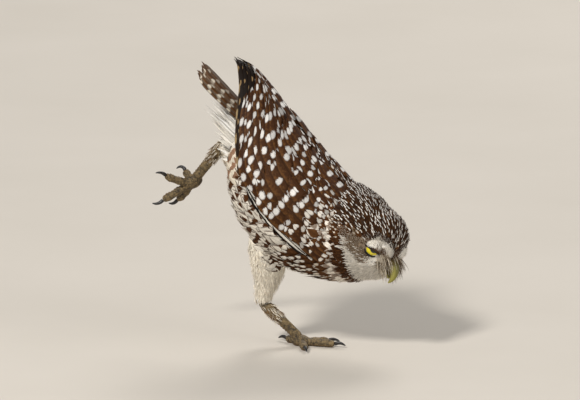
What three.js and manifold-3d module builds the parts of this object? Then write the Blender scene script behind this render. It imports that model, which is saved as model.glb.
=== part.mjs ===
// A burrowing owl at life size, in millimetres with +Z up. It stands on its right leg, leans far forward
// with its head low, and kicks its left leg out behind. The floor is z = 0 and the origin lies on it under
// the middle of the standing foot. The bird faces +X, turned a little towards -Y.
//
// Body pieces are laid out in the trunk's own frame: x ahead along the back, y to the bird's left, z out
// of its back. Head pieces use the head's frame and toes use their foot's, with axes named alike.

import * as THREE from 'three';
import { mergeVertices } from 'three/addons/utils/BufferGeometryUtils.js';
import Module from 'manifold-3d';

const wasm = await Module();
wasm.setup();

// Driving dimensions, in millimetres and degrees

const GAP = 0.3; // clear space between a piece and its neighbour
const VANE = 0.6; // thickness of a feather vane
const BODY = { centre: [0, 0, 110], heading: -20, pitch: 42 };
const HEAD = { centre: [57.5, 0, 18.7], turn: -24, raise: 10 };

// The trunk and neck by stations along the back: x, half width, top, bottom
const TRUNK = [
  [-77, 7, 21, 7],
  [-74, 14, 26, 0],
  [-68, 23, 32, -11],
  [-60, 31.5, 36.5, -22],
  [-50, 37, 39.5, -32],
  [-40, 40.5, 40.5, -38.4],
  [-20, 43.5, 39.5, -46.9],
  [0, 44, 39, -48.4],
  [19, 43, 38.5, -46.7],
  [34, 40, 38, -40.5],
  [50, 34, 33, -31.5],
  [60, 24, 22, -20],
];
const NECK = [
  [4, 44, 38.5, -48.2],
  [20, 43.5, 41.5, -46.5],
  [34, 41.5, 45, -40.8],
  [45, 37.5, 46, -34.2],
  [57, 32, 42, -28],
  [66, 26, 34, -20],
  [73, 18, 24, -10],
  [77, 9, 12, -3],
];
// The neck begins at a sloped plane, further back on the nape than on the breast
const COLLAR = { ahead: 0.937, up: 0.35, reach: 29.9 };

// The head by stations ahead of its middle: x, half width, top, bottom
const SKULL = [
  [-27, 8, 8, -8],
  [-24, 15.5, 15, -14],
  [-17, 23, 22, -20],
  [-8, 28, 26.5, -25],
  [2, 29.5, 27.5, -27.5],
  [10, 28.5, 25.5, -27.5],
  [16, 25.5, 21, -25.5],
  [20, 21, 16, -22.5],
  [23, 15.5, 11, -18],
  [25.2, 9, 5.5, -12],
];
const EYE = { ahead: 11.8, aside: 14.4, up: 1.5, radius: 7.6, outward: 35 };
const LID = { thick: 0.9, slit: 3.6, upperEdge: 4, lowerEdge: -52, halfLength: 8 };
const DISC = { radius: 17, floor: 5.6 }; // the hollow of the face round each eye
// The ridge of each brow: ahead, aside, up, radius
const BROW = [
  [25, 3, 1, 2.2],
  [23.5, 8.5, 5.5, 3.1],
  [19, 15, 8.6, 3.3],
  [13, 20.5, 9.6, 2.8],
  [7, 24.5, 9, 1.6],
];
// The bill's two halves: ahead, up, half width, half height
const UPPER_BILL = [
  [21, -3, 4.6, 5],
  [26.5, -3.2, 4.9, 5.2],
  [30.4, -4.6, 4.5, 4.4],
  [32.6, -7.2, 3.7, 3.3],
  [33.6, -10, 2.7, 2.3],
  [33.6, -12.8, 1.6, 1.3],
  [32.9, -15.4, 0.5, 0.45],
];
const LOWER_BILL = [
  [20, -9.6, 3.9, 2.6],
  [25.5, -10, 4, 2.4],
  [28.8, -10.9, 3.1, 1.8],
  [30.8, -12.6, 1.6, 0.9],
];
const NOSTRIL = { ahead: 28.6, aside: 4.5, up: -1.6, radius: 1 };
const GAPE = { from: [27, 4, -8.4], to: [18, 13, -9.6], half: 0.4, deep: 8 };

// The outer skin of the folded wings by stations along the back: x, half width, top, depth of the curve
const SHELL = [
  [-116, 8, 45, 30],
  [-103, 17.5, 49, 32],
  [-94, 22.5, 49.5, 34],
  [-80, 29, 48, 40],
  [-60, 37, 44.5, 42],
  [-40, 42, 41.5, 42],
  [-20, 44.5, 39, 42],
  [0, 44.5, 38, 42],
  [20, 43, 38, 42],
  [45, 38, 37, 42],
];
const ROUND = 44; // millimetres across the back's curve stand for this radius
// The wing's lower edge by stations along the back: x, millimetres from the middle of the back
const WING_EDGE = [
  [-114, 14],
  [-103, 33],
  [-94, 44],
  [-78, 61],
  [-61, 71],
  [-44, 78],
  [20, 79],
  [40, 78],
  [50, 77],
];
const WING_CORE = { front: 46, rear: -36, outer: -1.3, deep: -5.2 };
const RECESS = { front: 60, rear: -84, deep: -5.8, high: 9, beyond: 1.7 };
const MANTLE = [[-62, 1.2], [-46, 9.3], [60, 9.3]]; // the bare strip between the wings: x, half width
// Rows of wing feathers from the innermost layer out. Each feather lies at a distance inside the wing's
// lower edge; lines and widths in millimetres, heights measured from the shell, tilt in height per
// millimetre across. First and last give the row's ends: inside, root, tip.
const WING_ROWS = [
  { count: 7, first: [6.5, -24, -113], last: [33, -28, -82], width: 15, height: [-3.6, -2.4], tilt: 0.19 },
  { count: 8, first: [7, -16, -61], last: [62, -16, -84], width: 14, height: [-2.7, -0.7], tilt: 0.11 },
  { count: 7, first: [6, 0, -29], last: [56, 2, -38], width: 13, height: [-2.8, 0.3], tilt: 0.1 },
  { count: 6, first: [10, 16, -11], last: [54, 18, -17], width: 12, height: [-2.8, 0.6], tilt: 0.1 },
  { count: 4, first: [48, 22, -8], last: [64, 26, -38], width: 14, height: [-2.6, 0.8], tilt: 0.12 },
];

const TAIL = { root: -54, tip: -131, pairs: 6, width: 12, spread: 2, layer: 0.85 };
const TAIL_LINE = { rootHeight: 20, tipHeight: 22, arch: 0.012 };
const TAIL_CORE = { length: 36, halfWidth: 10, halfHeight: 4.2 };
const VENT = { rows: 3, count: 4, root: -58, length: 47, width: 14 }; // white feathers under the tail

// Leg lines: places with half thickness across and along the leg's bend, from the body outwards.
// The right leg is laid out over the floor and the left leg in the trunk's frame.
const THIGH_RIGHT = [
  [-22, -4, 104, 18, 20],
  [-25, -1, 82, 16.5, 18.5],
  [-26, 2, 64, 13.5, 14.5],
  [-28, 5, 50, 9.6, 10],
  [-30.4, 7.5, 38, 6.4, 6.8],
  [-31.6, 8.6, 30.5, 5, 5.4],
];
const SHANK_RIGHT = [
  [-31.4, 8.4, 32, 3.4, 3.6],
  [-26.5, 6.6, 26.6, 3.9, 4.4],
  [-19, 4.4, 20, 3.3, 3.7],
  [-11, 2.2, 12.8, 3, 3.5],
  [-4.5, 0.3, 6.6, 3.2, 3.6],
];
const THIGH_LEFT = [
  [-38, 15, -17, 16, 16],
  [-52, 12, -17.5, 13, 13.5],
  [-64, 9, -16.5, 9.8, 10],
  [-72, 6.4, -15.2, 7, 7.2],
  [-78, 4.6, -13.8, 5, 5.2],
];
const SHANK_LEFT = [
  [-60.8, 27, 151.2, 3.4, 3.6],
  [-65.4, 29.3, 145, 3.8, 4.3],
  [-71.8, 32.5, 136.3, 3.2, 3.6],
  [-77.6, 35.4, 128.4, 3, 3.4],
  [-82.8, 38, 121.3, 3.2, 3.6],
];
// Toes 1 to 4 from the hind toe outwards: where each leaves the palm (ahead, aside), its turn from
// straight ahead, droop and length, half thickness, bend at each joint, the side it bends to, and how far
// its claw hooks round
const CLAW = { length: 8.8, half: 1.5, tip: 0.25, lift: 20 };
const STANDING_FOOT = {
  palm: { half: [7.2, 6, 4.4], height: 3.2 },
  toes: [
    { from: [-4, 2], turn: 158, droop: 0, length: 10, half: 2.9, bend: 0, roll: 0, hook: 66 },
    { from: [3.5, 2.6], turn: 27, droop: 0, length: 16, half: 2.8, bend: 0, roll: 0, hook: 66 },
    { from: [4, 0], turn: 2, droop: 0, length: 22, half: 2.9, bend: 0, roll: 0, hook: 66 },
    { from: [1.5, -3.2], turn: -62, droop: 0, length: 17, half: 2.7, bend: 0, roll: 0, hook: 66 },
  ],
};
const KICKING_FOOT = {
  palm: { half: [7.2, 6, 4.4], height: 0 },
  toes: [
    { from: [1, -3], turn: 184, droop: 86, length: 9.5, half: 2.9, bend: 3, roll: 0, hook: 135 },
    { from: [3.5, -2.6], turn: -38, droop: 24, length: 19, half: 2.8, bend: -3, roll: 100, hook: 80 },
    { from: [4, 0], turn: 0, droop: -8, length: 22, half: 2.9, bend: 2, roll: 0, hook: 76 },
    { from: [3, 3.2], turn: 30, droop: -19, length: 15.5, half: 2.7, bend: 6, roll: 0, hook: 70 },
  ],
};

// Small helpers for numbers and places

const radians = THREE.MathUtils.degToRad;
const mix = THREE.MathUtils.lerp;
const place = (x, y, z) => new THREE.Vector3(x, y, z);

/** A smooth curve through rows of [at, ...values]: called with a place, it returns the values there. */
function curve(rows) {
  const slope = (i, k) => {
    const before = rows[Math.max(i - 1, 0)];
    const after = rows[Math.min(i + 1, rows.length - 1)];
    return (after[k] - before[k]) / (after[0] - before[0]);
  };
  return (at) => {
    const last = rows.length - 2;
    const i = Math.min(Math.max(rows.findIndex((row) => row[0] >= at) - 1, 0), last);
    const [near, next] = at > rows[last + 1][0] ? [rows[last], rows[last + 1]] : [rows[i], rows[i + 1]];
    const k = near === rows[last] ? last : i;
    const span = next[0] - near[0];
    const t = THREE.MathUtils.clamp((at - near[0]) / span, 0, 1);
    const ease = t * t * (3 - 2 * t);
    return near.slice(1).map((value, n) => {
      const rise = t * (1 - t) * span * ((1 - t) * slope(k, n + 1) - t * slope(k + 1, n + 1));
      return mix(value, next[n + 1], ease) + rise;
    });
  };
}

/** Makes a repeatable row of draws between -1 and 1. */
function draws(seed) {
  let state = seed;
  return () => {
    state = (state * 16807) % 2147483647;
    return (2 * state) / 2147483647 - 1;
  };
}

// Shapes as closed triangle meshes

/** An indexed geometry from its points and triangles. */
function geometryOf(points, index) {
  const geometry = new THREE.BufferGeometry().setFromPoints(points);
  geometry.setIndex(index);
  return geometry;
}

/** A closed skin over a row of rings that all have the same number of points, flat at both ends. */
function loft(rings) {
  const sides = rings[0].length;
  const points = rings.flat();
  const index = [];
  for (let r = 0; r + 1 < rings.length; r += 1) {
    for (let s = 0; s < sides; s += 1) {
      const a = r * sides + s;
      const b = r * sides + ((s + 1) % sides);
      index.push(a, b, b + sides, a, b + sides, a + sides);
    }
  }
  const centreOf = (ring) => ring.reduce((sum, p) => sum.add(p), place(0, 0, 0)).divideScalar(sides);
  const start = points.push(centreOf(rings[0])) - 1;
  const end = points.push(centreOf(rings[rings.length - 1])) - 1;
  const lastRing = (rings.length - 1) * sides;
  for (let s = 0; s < sides; s += 1) {
    const next = (s + 1) % sides;
    index.push(start, next, s, end, lastRing + s, lastRing + next);
  }
  return geometryOf(points, index);
}

/** A thin closed plate between two nets of points, split into triangles alike on both faces. */
function plate(top, bottom) {
  const cols = top[0].length;
  const under = top.length * cols;
  const at = (r, c) => r * cols + c;
  const index = [];
  const rim = [];
  for (let r = 0; r + 1 < top.length; r += 1) {
    for (let c = 0; c + 1 < cols; c += 1) {
      const [a, b, d, e] = [at(r, c), at(r, c + 1), at(r + 1, c), at(r + 1, c + 1)];
      index.push(a, b, e, a, e, d);
      index.push(a + under, e + under, b + under, a + under, d + under, e + under);
    }
  }
  for (let c = 0; c + 1 < cols; c += 1) rim.push(at(0, c));
  for (let r = 0; r + 1 < top.length; r += 1) rim.push(at(r, cols - 1));
  for (let c = cols - 1; c > 0; c -= 1) rim.push(at(top.length - 1, c));
  for (let r = top.length - 1; r > 0; r -= 1) rim.push(at(r, 0));
  rim.forEach((p, i) => {
    const q = rim[(i + 1) % rim.length];
    index.push(p, p + under, q + under, p, q + under, q);
  });
  return geometryOf([...top.flat(), ...bottom.flat()], index);
}

/** A limb of oval sections along rows of [x, y, z, half across, half the other way]. */
function limb(rows, across, sides = 10, grow = 0) {
  const spots = rows.map(([x, y, z]) => place(x, y, z));
  return loft(rows.map((row, i) => {
    const before = spots[Math.max(i - 1, 0)];
    const after = spots[Math.min(i + 1, rows.length - 1)];
    const along = after.clone().sub(before).normalize();
    const high = along.clone().cross(across).normalize();
    const wide = high.clone().cross(along);
    return Array.from({ length: sides }, (_, s) => {
      const angle = (2 * Math.PI * (s + 0.5)) / sides;
      return spots[i].clone()
        .addScaledVector(wide, (row[3] + grow) * Math.cos(angle))
        .addScaledVector(high, (row[4] + grow) * Math.sin(angle));
    });
  }));
}

/** An egg-like body along x from rows of [x, half width, top, bottom], made larger all round by grow. */
function egg(rows, stations, sides, grow = 0) {
  const at = curve(rows);
  const [from, to] = [rows[0][0], rows[rows.length - 1][0]];
  return loft(Array.from({ length: stations + 1 }, (_, i) => {
    const x = mix(from, to, (1 - Math.cos((Math.PI * i) / stations)) / 2);
    const [halfWidth, top, bottom] = at(x);
    const ends = i === 0 ? -grow : 0;
    return Array.from({ length: sides }, (__, s) => {
      const angle = (2 * Math.PI * s) / sides;
      const y = (halfWidth + grow) * Math.sin(angle);
      const z = (top + bottom) / 2 + ((top - bottom) / 2 + grow) * Math.cos(angle);
      return place(x + ends + (i === stations ? grow : 0), y, z);
    });
  }));
}

/** A round ball. */
function ball(radius, centre, around = 16, rings = 10) {
  return new THREE.SphereGeometry(radius, around, rings).rotateX(Math.PI / 2).translate(...centre);
}

// Joining and cutting

/** The closed solid of a geometry, with its faces turned outwards. */
function solid(geometry) {
  const bare = geometry.clone();
  bare.deleteAttribute('normal');
  bare.deleteAttribute('uv');
  const merged = mergeVertices(bare, 1e-5);
  const points = merged.getAttribute('position').array;
  const corners = Uint32Array.from(merged.index.array);
  const at = (i) => place().fromArray(points, 3 * i);
  let volume = 0;
  for (let i = 0; i < corners.length; i += 3) {
    volume += at(corners[i]).dot(at(corners[i + 1]).cross(at(corners[i + 2])));
  }
  if (volume < 0) corners.reverse();
  return new wasm.Manifold(new wasm.Mesh({
    numProp: 3, vertProperties: Float32Array.from(points), triVerts: corners,
  }));
}

/** The largest closed surface of a solid, without loose scraps and sealed hollows. */
function whole(shape) {
  return shape.decompose().reduce((best, piece) => (piece.volume() > best.volume() ? piece : best));
}

/** All the shapes joined into one body. */
function fuse(shapes) {
  return whole(shapes.reduce((sum, shape) => sum.add(shape)));
}

/** A body with the other shapes cut away from it. */
function carve(shape, tools) {
  return whole(tools.reduce((rest, tool) => rest.subtract(tool), shape));
}

/** A solid moved by a matrix, out of a turned frame or into one. */
function moved(shape, matrix) {
  return shape.transform(matrix.elements);
}

/** The same solid on the bird's other side. */
function mirrored(shape) {
  return shape.mirror([0, 1, 0]);
}

/** A named mesh of a solid, in its own colour. */
function meshOf(name, shape, colour, roughness) {
  const { vertProperties, triVerts } = shape.getMesh();
  const geometry = new THREE.BufferGeometry();
  geometry.setAttribute('position', new THREE.BufferAttribute(vertProperties, 3));
  geometry.setIndex(new THREE.BufferAttribute(triVerts, 1));
  geometry.computeVertexNormals();
  const material = new THREE.MeshStandardMaterial({ color: colour, roughness, metalness: 0 });
  const mesh = new THREE.Mesh(geometry, material);
  mesh.name = name;
  return mesh;
}

// Frames

/** The trunk's frame over the floor: heading and pitch about its middle. */
function bodyMatrix() {
  const turn = new THREE.Euler(0, radians(BODY.pitch), radians(BODY.heading), 'ZYX');
  const matrix = new THREE.Matrix4().makeRotationFromEuler(turn);
  return matrix.setPosition(...BODY.centre);
}

/** The head's frame in the trunk's. */
function headMatrix() {
  const turn = new THREE.Euler(0, radians(-HEAD.raise), radians(HEAD.turn), 'ZYX');
  return new THREE.Matrix4().makeRotationFromEuler(turn).setPosition(...HEAD.centre);
}

const inWorld = bodyMatrix();
const inBody = inWorld.clone().invert();
const headInBody = headMatrix();
const left = place(0, 1, 0);

// Feathers

/**
 * One tapering vane with a shallow ridge along its middle. The line gives the place along, across and
 * the height at a share of its length, and the surface turns those into a point.
 */
function vane(surface, line, width, tilt = 0) {
  const stations = [[0, 0.45], [0.4, 1], [0.86, 0.82], [1, 0.3]];
  const face = (lift) => stations.map(([t, share]) => [-1, 0, 1].map((side) => {
    const { along, across, height } = line(t);
    const off = side * share * (width / 2);
    const thick = VANE * (t > 0.9 ? 0.75 : 1);
    const ridge = side === 0 ? 0.35 : 0;
    return surface(along - Math.abs(side) * 0.2 * t, across + off, height + tilt * off + ridge + lift * thick);
  }));
  return solid(plate(face(0.5), face(-0.5)));
}

const shellAt = curve(SHELL);
const wingEdgeAt = curve(WING_EDGE);
const mantleAt = curve(MANTLE);

/** A point on the right wing's outer skin: along the back, across from its middle, and height over it. */
function onShell(along, across, height) {
  const [halfWidth, top, depth] = shellAt(along);
  const angle = across / ROUND;
  const out = place(0, -Math.sin(angle) * depth, Math.cos(angle) * halfWidth).normalize();
  const y = -halfWidth * Math.sin(angle);
  const z = top - depth * (1 - Math.cos(angle));
  return place(along, y, z).addScaledVector(out, height);
}

/** A slab of the wing's shell between two heights. */
function shellSlab({ front, rear, beyond, outer, deep }, steps) {
  const net = (height) => Array.from({ length: steps[0] + 1 }, (_, i) => {
    const along = mix(front, rear, i / steps[0]);
    const edge = wingEdgeAt(along)[0] + beyond;
    const inner = mantleAt(along)[0] - (beyond > 0 ? GAP : 0);
    return Array.from({ length: steps[1] + 1 }, (__, j) => (
      onShell(along, mix(inner, edge, j / steps[1]), height)
    ));
  });
  return solid(plate(net(outer), net(deep)));
}

/** The feathers of one wing row. */
function wingRow({ count, first, last, width, height, tilt }, random) {
  return Array.from({ length: count }, (_, i) => {
    const share = i / (count - 1);
    const [inside, root, tip] = first.map((value, k) => mix(value, last[k], share));
    const end = tip + random() * 1.2;
    const line = (t) => {
      const along = mix(root, end, t);
      const across = Math.max(wingEdgeAt(along)[0] - inside, mantleAt(along)[0] + width / 2);
      return { along, across, height: mix(height[0], height[1], Math.min(1, 1.25 * t)) };
    };
    return vane(onShell, line, width, tilt);
  });
}

// Pieces of the body, in the trunk's frame

/** Half of space ahead of the collar plane, or behind it by the gap. */
function atCollar(shape, ahead) {
  const side = ahead ? 1 : -1;
  const reach = COLLAR.reach + (ahead ? 0 : -GAP);
  return shape.trimByPlane([side * COLLAR.ahead, 0, side * COLLAR.up], side * reach);
}

/** The whole right wing: its core and the rows of feathers rooted in it. */
function wing() {
  const random = draws(31);
  const core = shellSlab({ ...WING_CORE, beyond: -1.5 }, [6, 6]);
  const feathers = WING_ROWS.flatMap((row) => wingRow(row, random));
  return atCollar(fuse([core, ...feathers]), false);
}

/** White feathers under the tail, rooted in the rear of the trunk. */
function ventFeathers() {
  const random = draws(7);
  const feathers = [];
  for (let row = 0; row < VENT.rows; row += 1) {
    const count = VENT.count - row;
    for (let i = 0; i < count; i += 1) {
      const aside = (i - (count - 1) / 2) * 6.5;
      const length = VENT.length - 8 * row - Math.abs(aside) * 0.3 + random() * 2;
      const height = 10 - 6 * row - 0.03 * aside * aside;
      const line = (t) => ({
        along: VENT.root - length * t,
        across: aside * (1 + 0.1 * t),
        height: height - (4 + 2 * row) * t + (i % 2) * 1.1,
      });
      feathers.push(vane(place, line, VENT.width));
    }
  }
  return feathers;
}

/** The trunk, hollowed where the wings lie on it and cut off at the collar. */
function torso(recess) {
  const trunk = atCollar(solid(egg(TRUNK, 14, 28)), false);
  return fuse([carve(trunk, [recess, mirrored(recess)]), ...ventFeathers()]);
}

/** The tail: six pairs of feathers stacked like a roof round a core, the middle pair on top. */
function tail() {
  const centreAt = (along) => {
    const t = (along - TAIL.root) / (TAIL.tip - TAIL.root);
    return mix(TAIL_LINE.rootHeight, TAIL_LINE.tipHeight, t);
  };
  const surface = (along, across, height) => (
    place(along, across, centreAt(along) + height - TAIL_LINE.arch * across * across)
  );
  const feathers = [];
  for (const side of [-1, 1]) {
    for (let pair = 0; pair < TAIL.pairs; pair += 1) {
      const layer = pair === 0 && side < 0 ? 1 : 1.6 * Math.min(pair, 1) + Math.max(pair - 1, 0);
      const spread = (TAIL.spread * pair + 1.2) * side;
      const length = TAIL.tip - TAIL.root + pair * pair * 0.25;
      const halfInner = Math.min(TAIL.width / 2, Math.abs(spread) + (pair === 0 ? 6 : 1));
      const width = TAIL.width / 2 + halfInner;
      const shift = side * (TAIL.width / 2 - halfInner) / 2;
      const line = (t) => ({
        along: TAIL.root + length * t,
        across: spread * mix(0.4, 1.15, t) + shift,
        height: -TAIL.layer * layer,
      });
      feathers.push(vane(surface, line, width));
    }
  }
  const { length, halfWidth, halfHeight } = TAIL_CORE;
  const core = [-2, 10, length * 0.6, length].map((back, i) => {
    const along = TAIL.root - back;
    return [along, 0, centreAt(along) - 2.2, halfWidth - 1.5 * i, halfHeight - 0.75 * i];
  });
  return fuse([solid(limb(core, left, 12)), ...feathers]);
}

// Pieces of the head, in the head's frame

/** The eyeball of one side, made larger by grow. */
function eyeball(side, grow = 0) {
  const centre = [EYE.ahead, side * EYE.aside, EYE.up];
  return solid(ball(EYE.radius + grow, centre, 16, 10));
}

/** The slit between the lids of the left eye: a wedge that opens from inside the eyeball. */
function lidSlit() {
  const reach = 16;
  const corners = [LID.upperEdge, LID.lowerEdge].map((angle) => (
    place(LID.slit + reach * Math.cos(radians(angle)), 0, reach * Math.sin(radians(angle)))
  ));
  const section = [place(LID.slit, 0, 0), ...corners];
  const rings = [-1, 1].map((side) => section.map((p) => p.clone().setY(side * LID.halfLength)));
  const wedge = loft(rings).rotateX(radians(8)).rotateZ(radians(EYE.outward));
  return solid(wedge.translate(EYE.ahead, EYE.aside, EYE.up));
}

/** The hollow of the face round the left eye. */
function faceHollow() {
  const out = radians(EYE.outward);
  const reach = DISC.floor + DISC.radius;
  const centre = [EYE.ahead + reach * Math.cos(out), EYE.aside + reach * Math.sin(out), EYE.up - 1];
  return solid(ball(DISC.radius, centre, 18, 12));
}

/** The line of the mouth, cut into the left cheek. */
function mouthLine() {
  const { from, to, half, deep } = GAPE;
  const inward = place(-deep * 0.6, -deep * 0.6, 0);
  const net = (lift) => [from, to].map((p) => [
    place(...p).add(place(0, 0, lift)).sub(inward),
    place(...p).add(place(0, 0, lift)).add(inward),
  ]);
  return solid(plate(net(half), net(-half)));
}

/** One half of the bill along its curve. */
function bill(rows, grow = 0) {
  return solid(limb(rows.map(([x, z, wide, high]) => [x, 0, z, wide, high]), left, 14, grow));
}

/** The head with its brows, lids, mouth line and the sockets of the eyes and bill. */
function head() {
  const brow = solid(limb(BROW.map(([x, y, z, r]) => [x, y, z, r, r]), place(0, 0, 1), 10));
  const hollow = faceHollow();
  const skull = carve(solid(egg(SKULL, 12, 24)), [hollow, mirrored(hollow)]);
  const lids = eyeball(1, LID.thick + GAP);
  const slit = lidSlit();
  const mouth = mouthLine();
  const sockets = [eyeball(1, GAP), eyeball(-1, GAP), bill(UPPER_BILL, GAP), bill(LOWER_BILL, GAP)];
  const built = fuse([skull, brow, mirrored(brow), lids, mirrored(lids)]);
  return carve(built, [...sockets, slit, mirrored(slit), mouth, mirrored(mouth)]);
}

/** The upper half of the bill with its nostrils. */
function upperBill() {
  const { ahead, aside, up, radius } = NOSTRIL;
  const holes = [-1, 1].map((side) => solid(ball(radius, [ahead, side * aside, up], 8, 6)));
  return carve(bill(UPPER_BILL), holes);
}

// Pieces of the legs and feet

/** The line of a toe and of its claw in the foot's frame, from the palm outwards. */
function toeLine({ from, turn, droop, length, half, bend, roll, hook }, height) {
  const heading = place(Math.cos(radians(droop)), 0, -Math.sin(radians(droop)));
  heading.applyAxisAngle(place(0, 0, 1), radians(turn));
  const hinge = place(0, 1, 0).applyAxisAngle(place(0, 0, 1), radians(turn)).applyAxisAngle(heading, radians(roll));
  const bulges = [1.05, 0.86, 1.05, 0.84, 1.04, 0.7];
  const at = place(from[0], from[1], height);
  const toe = bulges.map((bulge, i) => {
    if (i > 0) at.addScaledVector(heading, length / (bulges.length - 1));
    if (i > 0) heading.applyAxisAngle(hinge, radians(bend));
    return [...at.toArray(), half * bulge, half * bulge];
  });
  const steps = 5;
  heading.applyAxisAngle(hinge, radians(-CLAW.lift));
  at.addScaledVector(heading, GAP + CLAW.half * Math.sin(radians(CLAW.lift + Math.abs(bend))));
  const claw = Array.from({ length: steps + 1 }, (_, i) => {
    if (i > 0) at.addScaledVector(heading, CLAW.length / steps);
    if (i > 0) heading.applyAxisAngle(hinge, radians(hook / steps));
    const radius = mix(CLAW.half, CLAW.tip, (i / steps) ** 1.6);
    return [...at.toArray(), radius * 0.85, radius];
  });
  return { toe, claw, hinge };
}

/** The palm and toes of a foot joined, and its four claws. */
function foot({ palm, toes }) {
  const [long, wide, high] = palm.half;
  const pad = new THREE.SphereGeometry(1, 12, 8).scale(long, wide, high).translate(-0.5, 0, palm.height);
  const lines = toes.map((toe) => toeLine(toe, palm.height === 0 ? 0 : toe.half * 0.92));
  return {
    body: fuse([solid(pad), ...lines.map(({ toe, hinge }) => solid(limb(toe, hinge, 8)))]),
    claws: lines.map(({ claw, hinge }) => solid(limb(claw, hinge, 6))),
  };
}

/** Turns a foot's frame to stand at a place, ahead and sole pointing as given. */
function footMatrix(at, ahead, sole) {
  const x = ahead.clone().normalize();
  const y = sole.clone().cross(x).negate().normalize();
  return new THREE.Matrix4().makeBasis(x, y, x.clone().cross(y)).setPosition(at);
}

/** A leg: thigh cut clear of the body, shank clear of the thigh, foot clear of the shank. */
function leg(thighRows, thighMatrix, shankRows, trunk, footSpec, footPose) {
  const across = place(0.34, 0.94, 0);
  const thighAt = (grow) => moved(solid(limb(thighRows, left, 14, grow)), thighMatrix);
  const shankAt = (grow) => solid(limb(shankRows, across, 10, grow));
  const built = foot(footSpec);
  return {
    thigh: carve(thighAt(0), [trunk]),
    shank: carve(shankAt(0), [thighAt(GAP)]),
    foot: carve(moved(built.body, footPose), [shankAt(GAP)]),
    claws: built.claws.map((claw) => moved(claw, footPose)),
  };
}

// The whole bird

const COLOUR = {
  brown: 0x6b4a2e, dark: 0x4a3322, buff: 0xcdb592, cream: 0xe6d9b8, scale: 0x8b7a5c, claw: 0x1c1917,
  bill: 0xb3aa5e, eye: 0xe8c400,
};

/** Builds every piece in its frame and hangs them in one group. */
function owl() {
  const group = new THREE.Group();
  const body = new THREE.Group();
  const headGroup = new THREE.Group();
  body.applyMatrix4(inWorld);
  headGroup.applyMatrix4(headInBody);
  group.add(body);
  body.add(headGroup);

  const recess = shellSlab({ ...RECESS, outer: RECESS.high }, [12, 8]);
  const trunkGrown = solid(egg(TRUNK, 14, 28, GAP));
  const torsoBody = torso(recess);
  const rightWing = wing();
  const skullGrown = moved(solid(egg(SKULL, 12, 24, GAP)), headInBody);
  const neck = carve(atCollar(solid(egg(NECK, 10, 28)), true), [skullGrown]);
  body.add(meshOf('torso', torsoBody, COLOUR.buff, 0.9));
  body.add(meshOf('neck', neck, COLOUR.brown, 0.9));
  body.add(meshOf('wing_right', rightWing, COLOUR.brown, 0.8));
  body.add(meshOf('wing_left', mirrored(rightWing), COLOUR.brown, 0.8));
  body.add(meshOf('tail', carve(tail(), [trunkGrown]), COLOUR.dark, 0.8));

  headGroup.add(meshOf('head', head(), COLOUR.brown, 0.9));
  headGroup.add(meshOf('eye_left', eyeball(1), COLOUR.eye, 0.1));
  headGroup.add(meshOf('eye_right', eyeball(-1), COLOUR.eye, 0.1));
  headGroup.add(meshOf('bill_upper', upperBill(), COLOUR.bill, 0.4));
  headGroup.add(meshOf('bill_lower', carve(bill(LOWER_BILL), [bill(UPPER_BILL, GAP)]), COLOUR.bill, 0.4));

  const trunk = moved(trunkGrown, inWorld);
  const ahead = place(Math.cos(radians(BODY.heading)), Math.sin(radians(BODY.heading)), 0);
  const rightPose = footMatrix(place(-2, 0, 0), ahead, place(0, 0, -1));
  const leftPose = footMatrix(place(-84.6, 39, 118.4), place(-0.885, -0.097, -0.456), place(-0.424, 0.574, 0.7));
  const legs = {
    right: leg(THIGH_RIGHT, new THREE.Matrix4(), SHANK_RIGHT, trunk, STANDING_FOOT, rightPose),
    left: leg(THIGH_LEFT, inWorld, SHANK_LEFT, trunk, KICKING_FOOT, leftPose),
  };
  for (const [side, { thigh, shank, foot: sole, claws }] of Object.entries(legs)) {
    const onFloor = side === 'right' ? whole(sole.trimByPlane([0, 0, 1], 0)) : sole;
    group.add(meshOf(`thigh_${side}`, thigh, COLOUR.cream, 0.95));
    group.add(meshOf(`shank_${side}`, shank, COLOUR.scale, 0.7));
    group.add(meshOf(`foot_${side}`, onFloor, COLOUR.scale, 0.7));
    claws.forEach((claw, i) => group.add(meshOf(`claw_${side}_${i + 1}`, claw, COLOUR.claw, 0.35)));
  }
  return group;
}

const group = owl();

export default group;
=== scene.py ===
"""A burrowing owl at life size, leaning far forward on its right leg with the left one kicked back.

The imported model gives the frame: metres, +Z up, the floor at z = 0 and the origin under the standing
foot. One skin takes the place of the solids of flesh, and feathers of solid mesh cover it.
"""

from __future__ import annotations

import logging
import math
from dataclasses import dataclass
from enum import Enum
from itertools import product
from typing import Callable, Sequence

import bmesh
import bpy
import numpy as np
from mathutils import Matrix, Vector
from mathutils.bvhtree import BVHTree


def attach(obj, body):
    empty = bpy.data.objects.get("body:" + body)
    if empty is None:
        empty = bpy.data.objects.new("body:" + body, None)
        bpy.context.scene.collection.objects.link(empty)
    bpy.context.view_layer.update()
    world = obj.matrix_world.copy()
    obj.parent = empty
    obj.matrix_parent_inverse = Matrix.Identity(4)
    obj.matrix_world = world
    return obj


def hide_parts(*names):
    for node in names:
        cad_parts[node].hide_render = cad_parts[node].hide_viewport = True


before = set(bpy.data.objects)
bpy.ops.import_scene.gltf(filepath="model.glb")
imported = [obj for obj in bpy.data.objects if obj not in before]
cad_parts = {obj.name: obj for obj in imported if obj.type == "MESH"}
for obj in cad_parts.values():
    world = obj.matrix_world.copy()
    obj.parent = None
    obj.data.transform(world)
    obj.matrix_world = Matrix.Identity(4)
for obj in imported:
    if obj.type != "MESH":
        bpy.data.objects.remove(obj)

MM = 0.001
LOG = logging.getLogger("owl")
Array = np.ndarray


def linear(code: str) -> Array:
    """The linear red, green and blue of a display colour written as six hexadecimal digits."""
    shown = np.array([int(code[i:i + 2], 16) for i in (0, 2, 4)]) / 255
    return np.where(shown < 0.04045, shown / 12.92, ((shown + 0.055) / 1.055) ** 2.4)


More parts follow.
